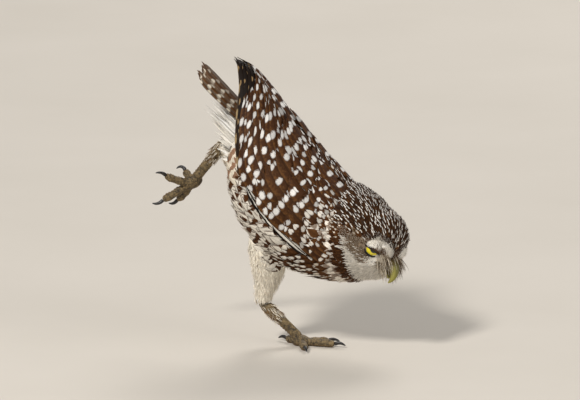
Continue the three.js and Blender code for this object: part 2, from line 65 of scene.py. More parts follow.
def unit(vectors: Array) -> Array:
    """The same directions with length one."""
    return vectors / np.maximum(np.linalg.norm(vectors, axis=-1, keepdims=True), 1e-12)


def soft(values: Array, start: float, end: float) -> Array:
    """A smooth step from 0 at start to 1 at end, which may be the lower of the two."""
    share = np.clip((values - start) / (end - start), 0, 1)
    return share * share * (3 - 2 * share)


def flat_to(normals: Array, directions: Array) -> Array:
    """The directions laid into the surface that has these normals."""
    return unit(directions - normals * np.sum(directions * normals, axis=-1, keepdims=True))


@dataclass(frozen=True)
class Axes:
    """A turned frame of reference: an origin, and columns that point ahead, left and up."""

    origin: Array
    basis: Array

    @classmethod
    def turned(
        cls, origin: Sequence[float], heading: float, pitch: float, parent: Axes | None = None,
    ) -> Axes:
        """Makes a frame from its place and turn in a parent frame.

        Args:
            origin: Its origin in the parent, in millimetres.
            heading: Turn to the left, in degrees.
            pitch: Nose-down turn, in degrees.
            parent: The frame it is laid out in, or None for the world.

        Returns:
            The frame in the world, in metres.
        """
        turn, nod = math.radians(heading), math.radians(pitch)
        yaw = [[math.cos(turn), -math.sin(turn), 0], [math.sin(turn), math.cos(turn), 0], [0, 0, 1]]
        dip = [[math.cos(nod), 0, math.sin(nod)], [0, 1, 0], [-math.sin(nod), 0, math.cos(nod)]]
        basis = np.array(yaw) @ np.array(dip)
        place = np.array(origin, float) * MM
        return cls(place, basis) if parent is None else cls(parent.world(place), parent.basis @ basis)

    def world(self, points: Array) -> Array:
        """Places in this frame, given in the world."""
        return np.asarray(points) @ self.basis.T + self.origin

    def local(self, points: Array) -> Array:
        """Places in the world, given in this frame."""
        return (np.asarray(points) - self.origin) @ self.basis

    def aim(self, directions: Array) -> Array:
        """Directions in this frame, given in the world."""
        return np.asarray(directions) @ self.basis.T


BODY = Axes.turned((0, 0, 110), -20, 42)
HEAD = Axes.turned((57.5, 0, 18.7), -24, -10, BODY)


class Side(Enum):
    """A side of the bird, with the sign of places on it."""

    LEFT = 1
    RIGHT = -1

    @property
    def word(self) -> str:
        """The side as it stands in the names of nodes and pieces."""
        return self.name.lower()

    @property
    def flip(self) -> Array:
        """What carries a place on the left side to this side."""
        return np.array([1, self.value, 1])


class Profile:
    """A smooth curve through rows of a place and the values there, all in millimetres."""

    def __init__(self, rows: Sequence[Sequence[float]]) -> None:
        """Keeps the rows and works out the slope at each.

        Args:
            rows: A place and the values there, in each row.
        """
        table = np.array(rows, float)
        self.at, self.values = table[:, 0], table[:, 1:]
        number = np.arange(len(table))
        before, after = np.maximum(number - 1, 0), np.minimum(number + 1, len(table) - 1)
        run = (self.at[after] - self.at[before])[:, None]
        self.slopes = (self.values[after] - self.values[before]) / run

    def __call__(self, places: Array) -> Array:
        """Reads the curve.

        Args:
            places: Places along it. Beyond its ends the end values hold.

        Returns:
            The values there, in a last axis of their own.
        """
        places = np.clip(np.asarray(places, float), self.at[0], self.at[-1])
        k = np.clip(np.searchsorted(self.at, places) - 1, 0, len(self.at) - 2)
        span = (self.at[k + 1] - self.at[k])[..., None]
        t = (places - self.at[k])[..., None] / span
        ease = t * t * (3 - 2 * t)
        bend = t * (1 - t) * span * ((1 - t) * self.slopes[k] - t * self.slopes[k + 1])
        return self.values[k] * (1 - ease) + self.values[k + 1] * ease + bend


# Meshes


def linked(name: str, data: bpy.types.ID) -> bpy.types.Object:
    """Makes an object and links it to the scene.

    Args:
        name: Its name.
        data: Its mesh, light or camera.

    Returns:
        The object.
    """
    item = bpy.data.objects.new(name, data)
    bpy.context.scene.collection.objects.link(item)
    return item


def dress(
    piece: bpy.types.Object, material: bpy.types.Material, slot: str, *nodes: str,
) -> bpy.types.Object:
    """Gives a piece its finish and its body, and hides the nodes that it stands for.

    Args:
        piece: The piece.
        material: Its material in the scene.
        slot: A material slot's name; not used.
        nodes: The nodes that it stands for.

    Returns:
        The piece.
    """
    piece.data.materials.append(material)
    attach(piece, "root")
    if nodes:
        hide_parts(*nodes)
    return piece


@dataclass
class Net:
    """A mesh in arrays: points, four-sided faces, named values on the points and named UV maps."""

    points: Array
    quads: Array
    values: dict[str, Array]
    maps: dict[str, Array]

    @classmethod
    def joined(cls, nets: Sequence[Net]) -> Net:
        """Joins several meshes.

        Args:
            nets: Meshes with the same values and maps.

        Returns:
            One mesh.
        """
        starts = np.cumsum([0] + [len(net.points) for net in nets[:-1]])
        return cls(
            np.concatenate([net.points for net in nets]),
            np.concatenate([net.quads + start for net, start in zip(nets, starts)]),
            {key: np.concatenate([net.values[key] for net in nets]) for key in nets[0].values},
            {key: np.concatenate([net.maps[key] for net in nets]) for key in nets[0].maps},
        )

    def build(self, name: str) -> bpy.types.Object:
        """Makes the mesh object.

        Args:
            name: The piece's name.

        Returns:
            The object, smooth shaded and linked to the scene.
        """
        mesh = bpy.data.meshes.new(name)
        mesh.vertices.add(len(self.points))
        mesh.vertices.foreach_set("co", self.points.astype(np.float32).ravel())
        mesh.loops.add(self.quads.size)
        mesh.loops.foreach_set("vertex_index", self.quads.astype(np.int32).ravel())
        mesh.polygons.add(len(self.quads))
        mesh.polygons.foreach_set("loop_start", np.arange(0, self.quads.size, 4, dtype=np.int32))
        mesh.polygons.foreach_set("use_smooth", np.ones(len(self.quads), bool))
        mesh.update(calc_edges=True)
        for key, value in self.values.items():
            kind, item = ("FLOAT", "value") if value.ndim == 1 else ("FLOAT_VECTOR", "vector")
            layer = mesh.attributes.new(key, kind, "POINT")
            layer.data.foreach_set(item, value.astype(np.float32).ravel())
        for key, value in self.maps.items():
            layer = mesh.uv_layers.new(name=key)
            layer.data.foreach_set("uv", value[self.quads.ravel()].astype(np.float32).ravel())
        mesh.validate(clean_customdata=False)
        return linked(name, mesh)


def grid_quads(rows: int, columns: int, around: bool = False) -> Array:
    """The faces of a net of points.

    Args:
        rows: Rows of points.
        columns: Points in a row.
        around: Whether each row closes on itself.

    Returns:
        The four points of each face.
    """
    last = columns if around else columns - 1
    row, column = np.meshgrid(np.arange(rows - 1), np.arange(last), indexing="ij")
    here, after = row * columns + column, row * columns + (column + 1) % columns
    return np.stack([here, after, after + columns, here + columns], axis=-1).reshape(-1, 4)


def tube(centres: Array, across: Array, halves: Array, sides: int) -> Net:
    """A closed body of oval rings along a line, with its ends drawn in to a point.

    Args:
        centres: Middle of each ring, in metres.
        across: The direction that a ring's first half width lies near, for all rings.
        halves: Half width across and half width the other way of each ring, in metres.
        sides: Points in a ring.

    Returns:
        The mesh, with the value along, from 0 to 1, the value around, and a plain map for baking.
    """
    along = unit(np.gradient(centres, axis=0))
    high = unit(np.cross(along, across))
    wide = np.cross(high, along)
    angles = (2 * np.pi * np.arange(sides) / sides)[:, None]
    ring = wide[:, None] * (halves[:, :1, None] * np.cos(angles))
    ring = ring + high[:, None] * (halves[:, 1:, None] * np.sin(angles))
    points = (centres[:, None] + ring).reshape(-1, 3)
    ends = np.repeat(centres[[0, -1]], sides, axis=0)
    points = np.concatenate([ends[:sides], points, ends[sides:]])
    rows = len(centres) + 2
    share = np.repeat(np.linspace(0, 1, rows), sides)
    turn = np.tile(np.arange(sides) / sides, rows)
    maps = {"OFBake": 0.02 + 0.96 * np.stack([np.abs(2 * turn - 1), share], axis=1)}
    return Net(points, grid_quads(rows, sides, True), {"along": share, "around": turn}, maps)


# Finishes, as node trees


class Socket:
    """A socket of a node tree that holds a number, so that sums on it add Math nodes."""

    def __init__(self, graph: Graph, link: bpy.types.NodeSocket) -> None:
        """Wraps an output socket."""
        self.graph = graph
        self.link = link

    def math(self, operation: str, *others: Value) -> Socket:
        """The result of a Math node on this and other numbers."""
        return self.graph.add("ShaderNodeMath", {"operation": operation}, dict(enumerate((self, *others))))

    def _reflected(self, operation: str, other: float) -> Socket:
        """The result of a Math node with this number second."""
        return self.graph.add("ShaderNodeMath", {"operation": operation}, {0: other, 1: self})

    def __add__(self, other: Value) -> Socket:
        """The sum."""
        return self.math("ADD", other)

    def __radd__(self, other: float) -> Socket:
        """The sum with a plain number first."""
        return self._reflected("ADD", other)

    def __sub__(self, other: Value) -> Socket:
        """The difference."""
        return self.math("SUBTRACT", other)

    def __rsub__(self, other: float) -> Socket:
        """The difference with a plain number first."""
        return self._reflected("SUBTRACT", other)

    def __mul__(self, other: Value) -> Socket:
        """The product."""
        return self.math("MULTIPLY", other)

    def __rmul__(self, other: float) -> Socket:
        """The product with a plain number first."""
        return self._reflected("MULTIPLY", other)

    def __truediv__(self, other: Value) -> Socket:
        """The quotient."""
        return self.math("DIVIDE", other)

    def __pow__(self, other: Value) -> Socket:
        """The power."""
        return self.math("POWER", other)

    def __abs__(self) -> Socket:
        """The number without its sign."""
        return self.math("ABSOLUTE")

    def larger(self, other: Value) -> Socket:
        """The larger of two numbers."""
        return self.math("MAXIMUM", other)

    def wave(self, turns: float = 1) -> Socket:
        """The sine, with a wave each time the number times the turns grows by one."""
        return (self * (2 * math.pi * turns)).math("SINE")

    def step(self, start: float, end: float) -> Socket:
        """A smooth step from 0 to 1.

        Args:
            start: Where it leaves 0.
            end: Where it meets 1, which may be the lower of the two.

        Returns:
            The step.
        """
        low, high = (0.0, 1.0) if start < end else (1.0, 0.0)
        settings = {"interpolation_type": "SMOOTHSTEP", "clamp": True}
        ends = {1: min(start, end), 2: max(start, end), 3: low, 4: high}
        return self.graph.add("ShaderNodeMapRange", settings, {0: self, **ends})


Value = Socket | float


class Graph:
    """The node tree of one material, with a Principled BSDF at its end."""

    def __init__(self, name: str) -> None:
        """Starts an empty tree.

        Args:
            name: The material's name.
        """
        self.material = bpy.data.materials.new(name)
        self.material.use_nodes = True
        self.tree = self.material.node_tree
        self.tree.nodes.clear()

    def node(
        self, kind: str, settings: dict[str, object], sockets: dict[int | str, object],
    ) -> bpy.types.Node:
        """Adds any node.

        Args:
            kind: The node's type.
            settings: Its settings, set first.
            sockets: Values or links for its inputs, by name or number.

        Returns:
            The node.
        """
        node = self.tree.nodes.new(kind)
        for key, value in settings.items():
            setattr(node, key, value)
        for key, value in sockets.items():
            if isinstance(value, Socket):
                self.tree.links.new(value.link, node.inputs[key])
            else:
                node.inputs[key].default_value = value
        return node

    def add(
        self, kind: str, settings: dict[str, object], sockets: dict[int | str, object], output: int | str = 0,
    ) -> Socket:
        """Adds any node and gives one of its outputs, by name or number."""
        return Socket(self, self.node(kind, settings, sockets).outputs[output])

    def named(self, name: str) -> Socket:
        """A vector or colour that the mesh carries on its points."""
        return self.add("ShaderNodeAttribute", {"attribute_name": name}, {}, "Vector")

    def number(self, name: str) -> Socket:
        """A number that the mesh carries on its points."""
        return self.add("ShaderNodeAttribute", {"attribute_name": name}, {}, "Fac")

    def parts(self, vector: Socket) -> tuple[Socket, ...]:
        """The three numbers of a vector."""
        return tuple(Socket(self, end) for end in self.node("ShaderNodeSeparateXYZ", {}, {0: vector}).outputs)

    def place(self) -> Socket:
        """The place on the object."""
        return self.add("ShaderNodeTexCoord", {}, {}, "Object")

    def noise(self, scale: float, detail: float = 3) -> Socket:
        """Cloudy noise from 0 to 1 over the piece, with scale in waves a metre."""
        return self.add("ShaderNodeTexNoise", {}, {"Vector": self.place(), "Scale": scale, "Detail": detail})

    def mix(self, share: Value, first: Socket | Array, second: Socket | Array) -> Socket:
        """A colour between two, first at share 0 and second at 1."""
        ends = [end if isinstance(end, Socket) else (*end, 1) for end in (first, second)]
        return self.add("ShaderNodeMix", {"data_type": "RGBA"}, {0: share, 6: ends[0], 7: ends[1]}, 2)

    def scaled(self, colour: Socket, share: Socket) -> Socket:
        """A colour times a number."""
        settings = {"operation": "SCALE"}
        return self.add("ShaderNodeVectorMath", settings, {0: colour, "Scale": share})

    def bump(self, height: Socket, strength: float, distance: float) -> Socket:
        """A normal raised by a height."""
        return self.add("ShaderNodeBump", {}, {"Strength": strength, "Distance": distance, "Height": height})

    def finish(self, sockets: dict[str, object]) -> bpy.types.Material:
        """Ends the tree with a Principled BSDF.

        Args:
            sockets: Its inputs.

        Returns:
            The material.
        """
        shader = self.add("ShaderNodeBsdfPrincipled", {}, sockets)
        self.node("ShaderNodeOutputMaterial", {}, {"Surface": shader})
        return self.material


@dataclass(frozen=True)
class FeatherFinish:
    """Feathers that carry their own colours: oval spots, bars, a streak, a pale fringe and fine barbs, with
    painted light paling the brown towards the vanes' edges and a painted shadow line at their very edge.

    Attributes:
        name: The material's name.
        roughness: Roughness of the vanes.
        barbs: Barbs along a feather.
        relief: Strength of their bump.
        ragged: How far the spots' edges wander.
        tip: How fast the fringe widens towards the feather's tip.
        glow: How far the brown pales towards the vane's edges, which is painted light coming through them.
        outline: How dark the painted shadow line is at the very edge of a brown vane, where shade falls
            between the feathers.
        pale: The brown's paler tone, as light comes through it.
    """

    name: str
    roughness: float = 0.72
    barbs: float = 34.0
    relief: float = 0.35
    ragged: float = 0.22
    tip: float = 1.6
    glow: float = 0.4
    outline: float = 0.65
    pale: str = "82572c"

    def material(self) -> bpy.types.Material:
        """Builds the material from the values that each feather carries.

        Returns:
            The material.
        """
        graph = Graph(self.name)
        chart = graph.add("ShaderNodeUVMap", {"uv_map": "Vane"}, {})
        across, along, _ = graph.parts(chart)
        side = abs(across * 2 - 1)
        cloud, fine = graph.noise(900, 2) - 0.5, graph.noise(2600, 2) - 0.5
        mark = self._marks(graph, side, along, cloud, fine)
        ground = graph.named("ground")
        red = graph.parts(ground)[0]
        brown = red.step(0.3, 0.12) * red.step(0.012, 0.035)
        # Painted light: the brown pales towards the vane's edges, as if light came through them.
        paler = (side + (graph.noise(500, 2) - 0.5) * 2 - 0.1).step(0.1, 1.1) * brown * self.glow
        ground = graph.mix(paler, ground, linear(self.pale))
        colour = graph.mix(mark, ground, graph.named("marking"))
        shade = 1 + fine * 0.5 + cloud * 0.6 - side.step(0.1, 0.0) * 0.25
        # Painted shadow: a thin dark line at each brown vane's edge, for the shade between overlapping
        # feathers.
        shade = shade * (1 - side.step(0.82, 1.0) * brown * self.outline)
        height = (along * self.barbs + side * 5).wave() * 0.5 + side.step(0.12, 0.0) * 1.5 + fine
        return graph.finish({
            "Base Color": graph.scaled(colour, shade),
            "Roughness": self.roughness,
            "Specular IOR Level": 0.15,
            "Normal": graph.bump(height, self.relief, 0.00012),
        })

    def _marks(self, graph: Graph, side: Socket, along: Socket, cloud: Socket, fine: Socket) -> Socket:
        """How much of the marking's colour shows.

        Args:
            graph: The tree.
            side: Distance from the shaft, 1 at the edge.
            along: Share of the length.
            cloud: Slow noise round 0.
            fine: Fine noise round 0.

        Returns:
            The share, from the spots, bars, streak and fringe.
        """
        aside, repeats, phase = graph.parts(graph.named("spot_place"))
        wide, tall, strength = graph.parts(graph.named("spot_size"))
        bar, streak, fringe = graph.parts(graph.named("weave"))
        cell = (along * repeats + phase + cloud * 0.12).math("FRACT") - 0.5
        oval = ((side - aside) / wide) ** 2 + (cell / tall) ** 2 + cloud * self.ragged * 4
        spots = oval.step(1.45, 0.4) * strength
        stripe = (along * repeats + phase + cloud * 0.3 - side * 0.08).math("FRACT") - 0.5
        bars = abs(stripe).step(0.33, 0.23) * bar
        dash = ((wide - side - fine * 0.3) / wide).step(0.0, 0.5)
        line = dash * along.step(0.48, 0.58) * along.step(1.02, 0.94) * streak
        rim = (side + (along - 0.55).larger(0.0) * self.tip + fine * 0.4).step(0.74, 1.0) * fringe
        return spots.larger(bars).larger(line).larger(rim)


@dataclass(frozen=True)
class SkinFinish:
    """The skin under the coat, with the coat's own colours mixed as its feathers show them."""

    name: str = "under_down"

    def material(self) -> bpy.types.Material:
        """Builds the material from the colours that the skin carries.

        Returns:
            The material.
        """
        graph = Graph(self.name)
        cloud = graph.noise(420, 4)
        fleck = graph.noise(1500, 3).step(0.45, 0.65)
        cover = graph.number("cover") * (0.6 + cloud * 0.8) * (fleck * 0.6 + 0.7)
        return graph.finish({
            "Base Color": graph.mix(cover, graph.named("ground"), graph.named("marking")),
            "Roughness": 0.9,
            "Specular IOR Level": 0.15,
            "Normal": graph.bump(graph.noise(1800, 3), 0.6, 0.0004),
        })


@dataclass(frozen=True)
class HornFinish:
    """Horn of a bill or claw: two tones along it, growth lines and a soft gloss."""

    name: str
    base: str
    tip: str
    edge: str
    roughness: float = 0.32
    coat: float = 0.35

    def material(self) -> bpy.types.Material:
        """Builds the material from each point's place along the horn and round it.

        Returns:
            The material.
        """
        graph = Graph(self.name)
        along, around = graph.number("along"), graph.number("around")
        cloud = graph.noise(500, 4)
        colour = graph.mix((along + cloud * 0.3 - 0.15).step(0.25, 0.9), linear(self.base), linear(self.tip))
        ridge = abs(around * 2 - 1).step(0.35, 0.1) * 0.6
        lines = (along * 26 + cloud * 2).wave()
        return graph.finish({
            "Base Color": graph.mix(ridge, colour, linear(self.edge)),
            "Roughness": self.roughness + cloud * 0.18,
            "Coat Weight": self.coat,
            "Coat Roughness": 0.15,
            "Normal": graph.bump(lines * 0.2 + cloud, 0.25, 0.0002),
        })


@dataclass(frozen=True)
class ScaleFinish:
    """Scaly skin of the shanks and toes, tan-brown with darker joints and orange-brown pads.

    Attributes:
        name: The material's name.
        dark: Colour of the seams between scales.
        light: Colour of the scales.
        pad: Colour of the toes' pads.
        cells: Scales in a metre.
    """

    name: str = "scaly_skin"
    dark: str = "1f150b"
    light: str = "8a7550"
    pad: str = "6f5634"
    cells: float = 760.0

    def material(self) -> bpy.types.Material:
        """Builds the material from each point's scutes and pads.

        Returns:
            The material.
        """
        graph = Graph(self.name)
        place = {"Vector": graph.place(), "Scale": self.cells}
        cells = graph.add("ShaderNodeTexVoronoi", {"feature": "DISTANCE_TO_EDGE"}, place, "Distance")
        rings = abs(graph.number("scute").math("FRACT") - 0.5).step(0.5, 0.38)
        plates = graph.number("plated")
        height = cells.step(0.0, 0.12) * (1 - plates * 0.5) + rings * plates * 0.5
        cloud = graph.noise(420, 5)
        share = (height * 0.5 + cloud * 1.6 - 0.75).step(0.0, 0.8)
        colour = graph.mix(share, linear(self.dark), linear(self.light))
        return graph.finish({
            "Base Color": graph.mix(graph.number("pad") * (0.5 + cloud * 0.6), colour, linear(self.pad)),
            "Roughness": 0.55 + cloud * 0.2,
            "Normal": graph.bump(height + cloud * 0.3, 0.8, 0.00035),
        })


@dataclass(frozen=True)
class EyeFinish:
    """A wet eye: black pupil, bright yellow iris with fine spokes and a dark outer ring."""

    name: str = "wet_eye"
    iris: str = "f3e30c"
    deep: str = "c7a500"
    rim: str = "120c08"
    pupil: str = "030303"
    spokes: int = 46

    def material(self) -> bpy.types.Material:
        """Builds the material from each point's share of the iris and its turn round the pupil.

        Returns:
            The material.
        """
        graph = Graph(self.name)
        reach = graph.number("reach")
        spokes = graph.number("turn").wave(self.spokes) * 0.5 + 0.5
        cloud = graph.noise(1400, 3)
        yellow = graph.mix(spokes * cloud * 0.55, linear(self.iris), linear(self.deep))
        ring = (reach + (cloud - 0.5) * 0.06).step(0.86, 0.97)
        colour = graph.mix(ring, yellow, linear(self.rim))
        pupil = (reach + (spokes - 0.5) * 0.02).step(0.4, 0.36)
        return graph.finish({
            "Base Color": graph.mix(pupil, colour, linear(self.pupil)),
            "Roughness": 0.08,
            "Coat Weight": 1.0,
            "Coat Roughness": 0.02,
        })


@dataclass(frozen=True)
class PlainFinish:
    """A plain soft surface with a little cloud in its tone."""

    name: str
    tone: str
    shade: str
    roughness: float = 0.8
    scale: float = 60.0

    def material(self) -> bpy.types.Material:
        """Builds the material.

        Returns:
            The material.
        """
        graph = Graph(self.name)
        return graph.finish({
            "Base Color": graph.mix(graph.noise(self.scale), linear(self.tone), linear(self.shade)),
            "Roughness": self.roughness,
            "Normal": graph.bump(graph.noise(self.scale * 12), 0.2, 0.0003),
        })


# Surfaces


def edges_of(quads: Array) -> Array:
    """The edges of four-sided faces, each once."""
    pairs = np.concatenate([quads[:, [k, (k + 1) % 4]] for k in range(4)])
    return np.unique(np.sort(pairs, axis=1), axis=0)


def edge_mean(points: Array, edges: Array) -> Array:
    """Each point's mean over its neighbours.

    Args:
        points: The points.
        edges: The pairs of points that an edge joins.

    Returns:
        The means.
    """
    total = np.zeros_like(points)
    for k in range(points.shape[1]):
        for near, far in ((0, 1), (1, 0)):
            total[:, k] += np.bincount(edges[:, near], points[edges[:, far], k], len(points))
    return total / np.maximum(np.bincount(edges.ravel(), minlength=len(points)), 1)[:, None]


def smoothed(points: Array, edges: Array, share: float, times: int) -> Array:
    """Draws points towards their neighbours.

    Args:
        points: The points.
        edges: The pairs of points that an edge joins.
        share: How far each goes towards its neighbours' mean.
        times: How often.

    Returns:
        The points after that.
    """
    for _ in range(times):
        points = points * (1 - share) + edge_mean(points, edges) * share
    return points


def smooth_normals(points: Array, quads: Array) -> Array:
    """Smooth normals at the points of a net.

    Args:
        points: The points.
        quads: The four-sided faces.

    Returns:
        A normal for each point.
    """
    a, b, c, d = (points[quads[:, k]] for k in range(4))
    faces = np.cross(c - a, d - b)
    total = np.zeros_like(points)
    for k in range(4):
        np.add.at(total, quads[:, k], faces)
    return unit(total)


def read(items: bpy.types.bpy_prop_collection, key: str, width: int, kind: type = np.float32) -> Array:
    """One property of all of a mesh's points, corners or triangles.

    Args:
        items: The points, corners or triangles.
        key: The property.
        width: Numbers in it.
        kind: How they are stored.

    Returns:
        A row for each.
    """
    values = np.empty(len(items) * width, kind)
    items.foreach_get(key, values)
    return values.reshape(-1, width).astype(int if kind is np.int32 else float)


class Surface:
    """A mesh to set things on: its triangles, smooth normals and a quick search for the nearest place."""

    tries = 5

    def __init__(
        self, points: Array, triangles: Array, normals: Array,
        part: Array | None = None, chart: Array | None = None,
    ) -> None:
        """Takes the mesh.

        Args:
            points: Its points, in metres.
            triangles: The points of each triangle.
            normals: The points' normals.
            part: The part of the bird that each point belongs to, or None for the trunk.
            chart: The baking map at each triangle's corners.
        """
        self.points, self.triangles, self.normals, self.chart = points, triangles, normals, chart
        self.part = np.full(len(points), Part.TRUNK.value) if part is None else part
        self.tree = BVHTree.FromPolygons(points.tolist(), triangles.tolist())

    @classmethod
    def of(cls, piece: bpy.types.Object, part: Array | None = None) -> Surface:
        """Reads the mesh of an object that sits at the origin.

        Args:
            piece: The object.
            part: The part of the bird that each of its points belongs to, or None for the trunk.

        Returns:
            Its surface.
        """
        mesh = piece.data
        mesh.calc_loop_triangles()
        layer = mesh.uv_layers.get("OFBake")
        corners = read(mesh.loop_triangles, "loops", 3, np.int32)
        chart = None if layer is None else read(layer.data, "uv", 2)[corners]
        points, normals = read(mesh.vertices, "co", 3), read(mesh.vertex_normals, "vector", 3)
        return cls(points, read(mesh.loop_triangles, "vertices", 3, np.int32), normals, part, chart)

    def nearest(self, places: Array) -> tuple[Array, Array, Array]:
        """The nearest place on the surface to each place.

        Args:
            places: Points, in metres.

        Returns:
            The places on the surface, the smooth normals there and the distances.
        """
        found = [self.tree.find_nearest(p) for p in places.tolist()]
        spots = np.array([f[0] for f in found])
        normals = unit(self.normals[self.triangles[[f[2] for f in found]]].mean(axis=1))
        return spots, normals, np.array([f[3] for f in found])

    def spread(self, spacing: Callable[[Placed], Array], seed: int) -> tuple[Placed, Array, Array]:
        """Roots spread over the surface at random, none nearer to another than the spacing there.

        Args:
            spacing: The spacing at some places, in metres, and 0 where nothing grows.
            seed: Seed of the draws.

        Returns:
            The roots, the normals there, and their places on the baking map.
        """
        rng = np.random.default_rng(seed)
        corners = self.points[self.triangles]
        gap = spacing(Placed.at(corners.mean(axis=1), self.part[self.triangles[:, 0]]))
        sides = corners[:, 1:] - corners[:, :1]
        area = np.linalg.norm(np.cross(sides[:, 0], sides[:, 1]), axis=1) / 2
        weight = np.where(gap > 0, area / np.maximum(gap, 1e-5) ** 2, 0)
        count = int(weight.sum() * self.tries)
        chosen = rng.choice(len(weight), count, p=weight / weight.sum())
        share = np.sort(rng.random((count, 2)), axis=1)
        share = np.stack([share[:, 0], share[:, 1] - share[:, 0], 1 - share[:, 1]], axis=1)
        spots = np.einsum("nk,nkd->nd", share, corners[chosen])
        kept = self._thinned(spots, gap[chosen])
        chosen, share = chosen[kept], share[kept]
        normals = unit(np.einsum("nk,nkd->nd", share, self.normals[self.triangles[chosen]]))
        chart = np.einsum("nk,nkd->nd", share, self.chart[chosen])
        return Placed.at(spots[kept], self.part[self.triangles[chosen, 0]]), normals, chart

    @staticmethod
    def _thinned(spots: Array, gaps: Array) -> list[int]:
        """Thins spots out.

        Args:
            spots: The spots.
            gaps: How near the next may be to each.

        Returns:
            The numbers of those spots, in order, that have no kept one nearer than their gap.
        """
        cells: dict[tuple[int, ...], list[tuple[float, ...]]] = {}
        near = list(product((-1, 0, 1), repeat=3))
        keys = np.floor(spots / gaps.max()).astype(int).tolist()
        kept = []
        for number, (spot, key, gap) in enumerate(zip(spots.tolist(), keys, gaps.tolist())):
            around = (cells.get((key[0] + i, key[1] + j, key[2] + k), ()) for i, j, k in near)
            if all(math.dist(spot, other) >= gap for cell in around for other in cell):
                cells.setdefault(tuple(key), []).append(spot)
                kept.append(number)
        return kept

    def walk(self, roots: Array, ways: Array, lengths: Array, steps: int) -> tuple[Array, Array]:
        """Lines laid over the surface from some roots.

        Args:
            roots: Where the lines start.
            ways: The direction each sets off in.
            lengths: How long each is, in metres.
            steps: Number of steps in a line.

        Returns:
            The points of the lines and the surface's normals there, each as (line, step, 3).
        """
        spots, normals, _ = self.nearest(roots)
        paths, ups = [roots], [normals]
        ways = flat_to(normals, ways)
        for _ in range(steps):
            ahead = paths[-1] + ways * (lengths / steps)[:, None]
            spots, normals, _ = self.nearest(ahead)
            ways = flat_to(normals, spots - paths[-1])
            paths.append(spots)
            ups.append(normals)
        return np.stack(paths, axis=1), np.stack(ups, axis=1)


# Feathers


@dataclass(frozen=True)
class Markings:
    """How a feather is coloured: a ground and a marking colour, and the shapes that the marking takes."""

    ground: str
    marking: str
    aside: float = 0.0
    repeats: float = 1.0
    centre: float = 0.78
    wide: float = 0.5
    tall: float = 0.2
    spots: float = 0.0
    bars: float = 0.0
    streak: float = 0.0
    fringe: float = 0.0
    cover: float = 0.3

    def row(self) -> Array:
        """The markings as one row of numbers, in the order of the columns below.

        Returns:
            The row.
        """
        phase = 0.5 - self.centre * self.repeats
        shape = (self.aside, self.repeats, phase, self.wide, self.tall)
        shares = (self.spots, self.bars, self.streak, self.fringe, self.cover)
        return np.array([*linear(self.ground), *linear(self.marking), *shape, *shares])

    def rows(self, count: int) -> Array:
        """The same row a number of times."""
        return np.tile(self.row(), (count, 1))


GROUND, MARKING, COLOURS = slice(0, 3), slice(3, 6), slice(0, 6)
ASIDE, REPEATS, PHASE, WIDE, TALL, SPOTS, BARS, STREAK, FRINGE, COVER = range(6, 16)
MARKING_VALUES = {
    "ground": GROUND, "marking": MARKING, "spot_place": slice(ASIDE, WIDE), "spot_size": slice(WIDE, BARS),
    "weave": slice(BARS, COVER), "cover": COVER,
}


@dataclass(frozen=True)
class VaneShape:
    """The outline of a feather or tuft: shares of its length, half widths there, and lines across."""

    stations: tuple[float, ...]
    widths: tuple[float, ...]
    lines: int = 3
    sweep: float = 0.12
    camber: float = 0.18
    fray: float = 0.06

    def net(self, count: int, rng: np.random.Generator) -> tuple[Array, Array]:
        """Places in the net of each feather.

        Args:
            count: Number of feathers.
            rng: The draws that fray their tips.

        Returns:
            Share of the length at each point, as (feather, station, line), and the side of each line
            from -1 to 1 times the width there, as (station, line).
        """
        side = np.linspace(-1, 1, self.lines)
        along = np.array(self.stations)[:, None] * (1 - self.sweep * side ** 2)
        torn = rng.normal(0, self.fray, (count, 1, self.lines)) * np.array(self.stations)[:, None] ** 5
        return np.clip(along + torn, 0, 1.2), np.array(self.widths)[:, None] * side


FLIGHT = VaneShape(
    (0, 0.12, 0.3, 0.5, 0.68, 0.82, 0.91, 0.97, 1), (0.3, 0.75, 0.95, 1, 1, 0.97, 0.88, 0.7, 0.4),
    7, 0.05, 0.1, 0.012,
)
COVERT = VaneShape(
    (0, 0.2, 0.45, 0.68, 0.84, 0.94, 1), (0.3, 0.85, 1, 1, 0.86, 0.6, 0.25), 7, 0.06, 0.14, 0.02,
)
CONTOUR = VaneShape((0, 0.3, 0.6, 0.82, 1), (0.35, 0.9, 1, 0.8, 0.3), 5, 0.12, 0.2, 0.05)
SMALL = VaneShape((0, 0.3, 0.6, 0.85, 1), (0.4, 1, 0.95, 0.65, 0.15), 3, 0.12, 0.25, 0.05)
TUFT = VaneShape((0, 0.4, 0.75, 1), (0.5, 1, 0.7, 0.08), 3, 0.05, 0.3, 0.12)
HAIR = VaneShape((0, 0.3, 0.6, 0.85, 1), (1, 0.85, 0.65, 0.4, 0.08), 2, 0, 0, 0)
PLUME = VaneShape((0, 0.2, 0.4, 0.6, 0.8, 1), (0.3, 0.8, 1, 1, 0.8, 0.25), 5, 0.1, 0.2, 0.16)


def feathers(points: Array, along: Array, side: Array, marks: Array, charts: Array, patch: float) -> Net:
    """Feathers as one mesh.

    Args:
        points: Places of the nets, as (feather, station, line, 3).
        along: Share of the length at each point.
        side: Lines across, as (station, line); not used.
        marks: A row of markings for each feather.
        charts: Each feather's place on the baking map.
        patch: Side of its patch there.

    Returns:
        The mesh.
    """
    count, stations, lines, _ = points.shape
    size = stations * lines
    quads = (grid_quads(stations, lines) + size * np.arange(count)[:, None, None]).reshape(-1, 4)
    across = np.broadcast_to(np.linspace(0, 1, lines), (count, stations, lines))
    vane = np.stack([across, np.clip(along, 0, 1)], axis=-1).reshape(-1, 2)
    bake = np.repeat(charts, size, axis=0) + (vane - 0.5) * patch
    values = {key: np.repeat(marks[:, cut], size, axis=0) for key, cut in MARKING_VALUES.items()}
    return Net(points.reshape(-1, 3), quads, values, {"Vane": vane, "OFBake": bake})


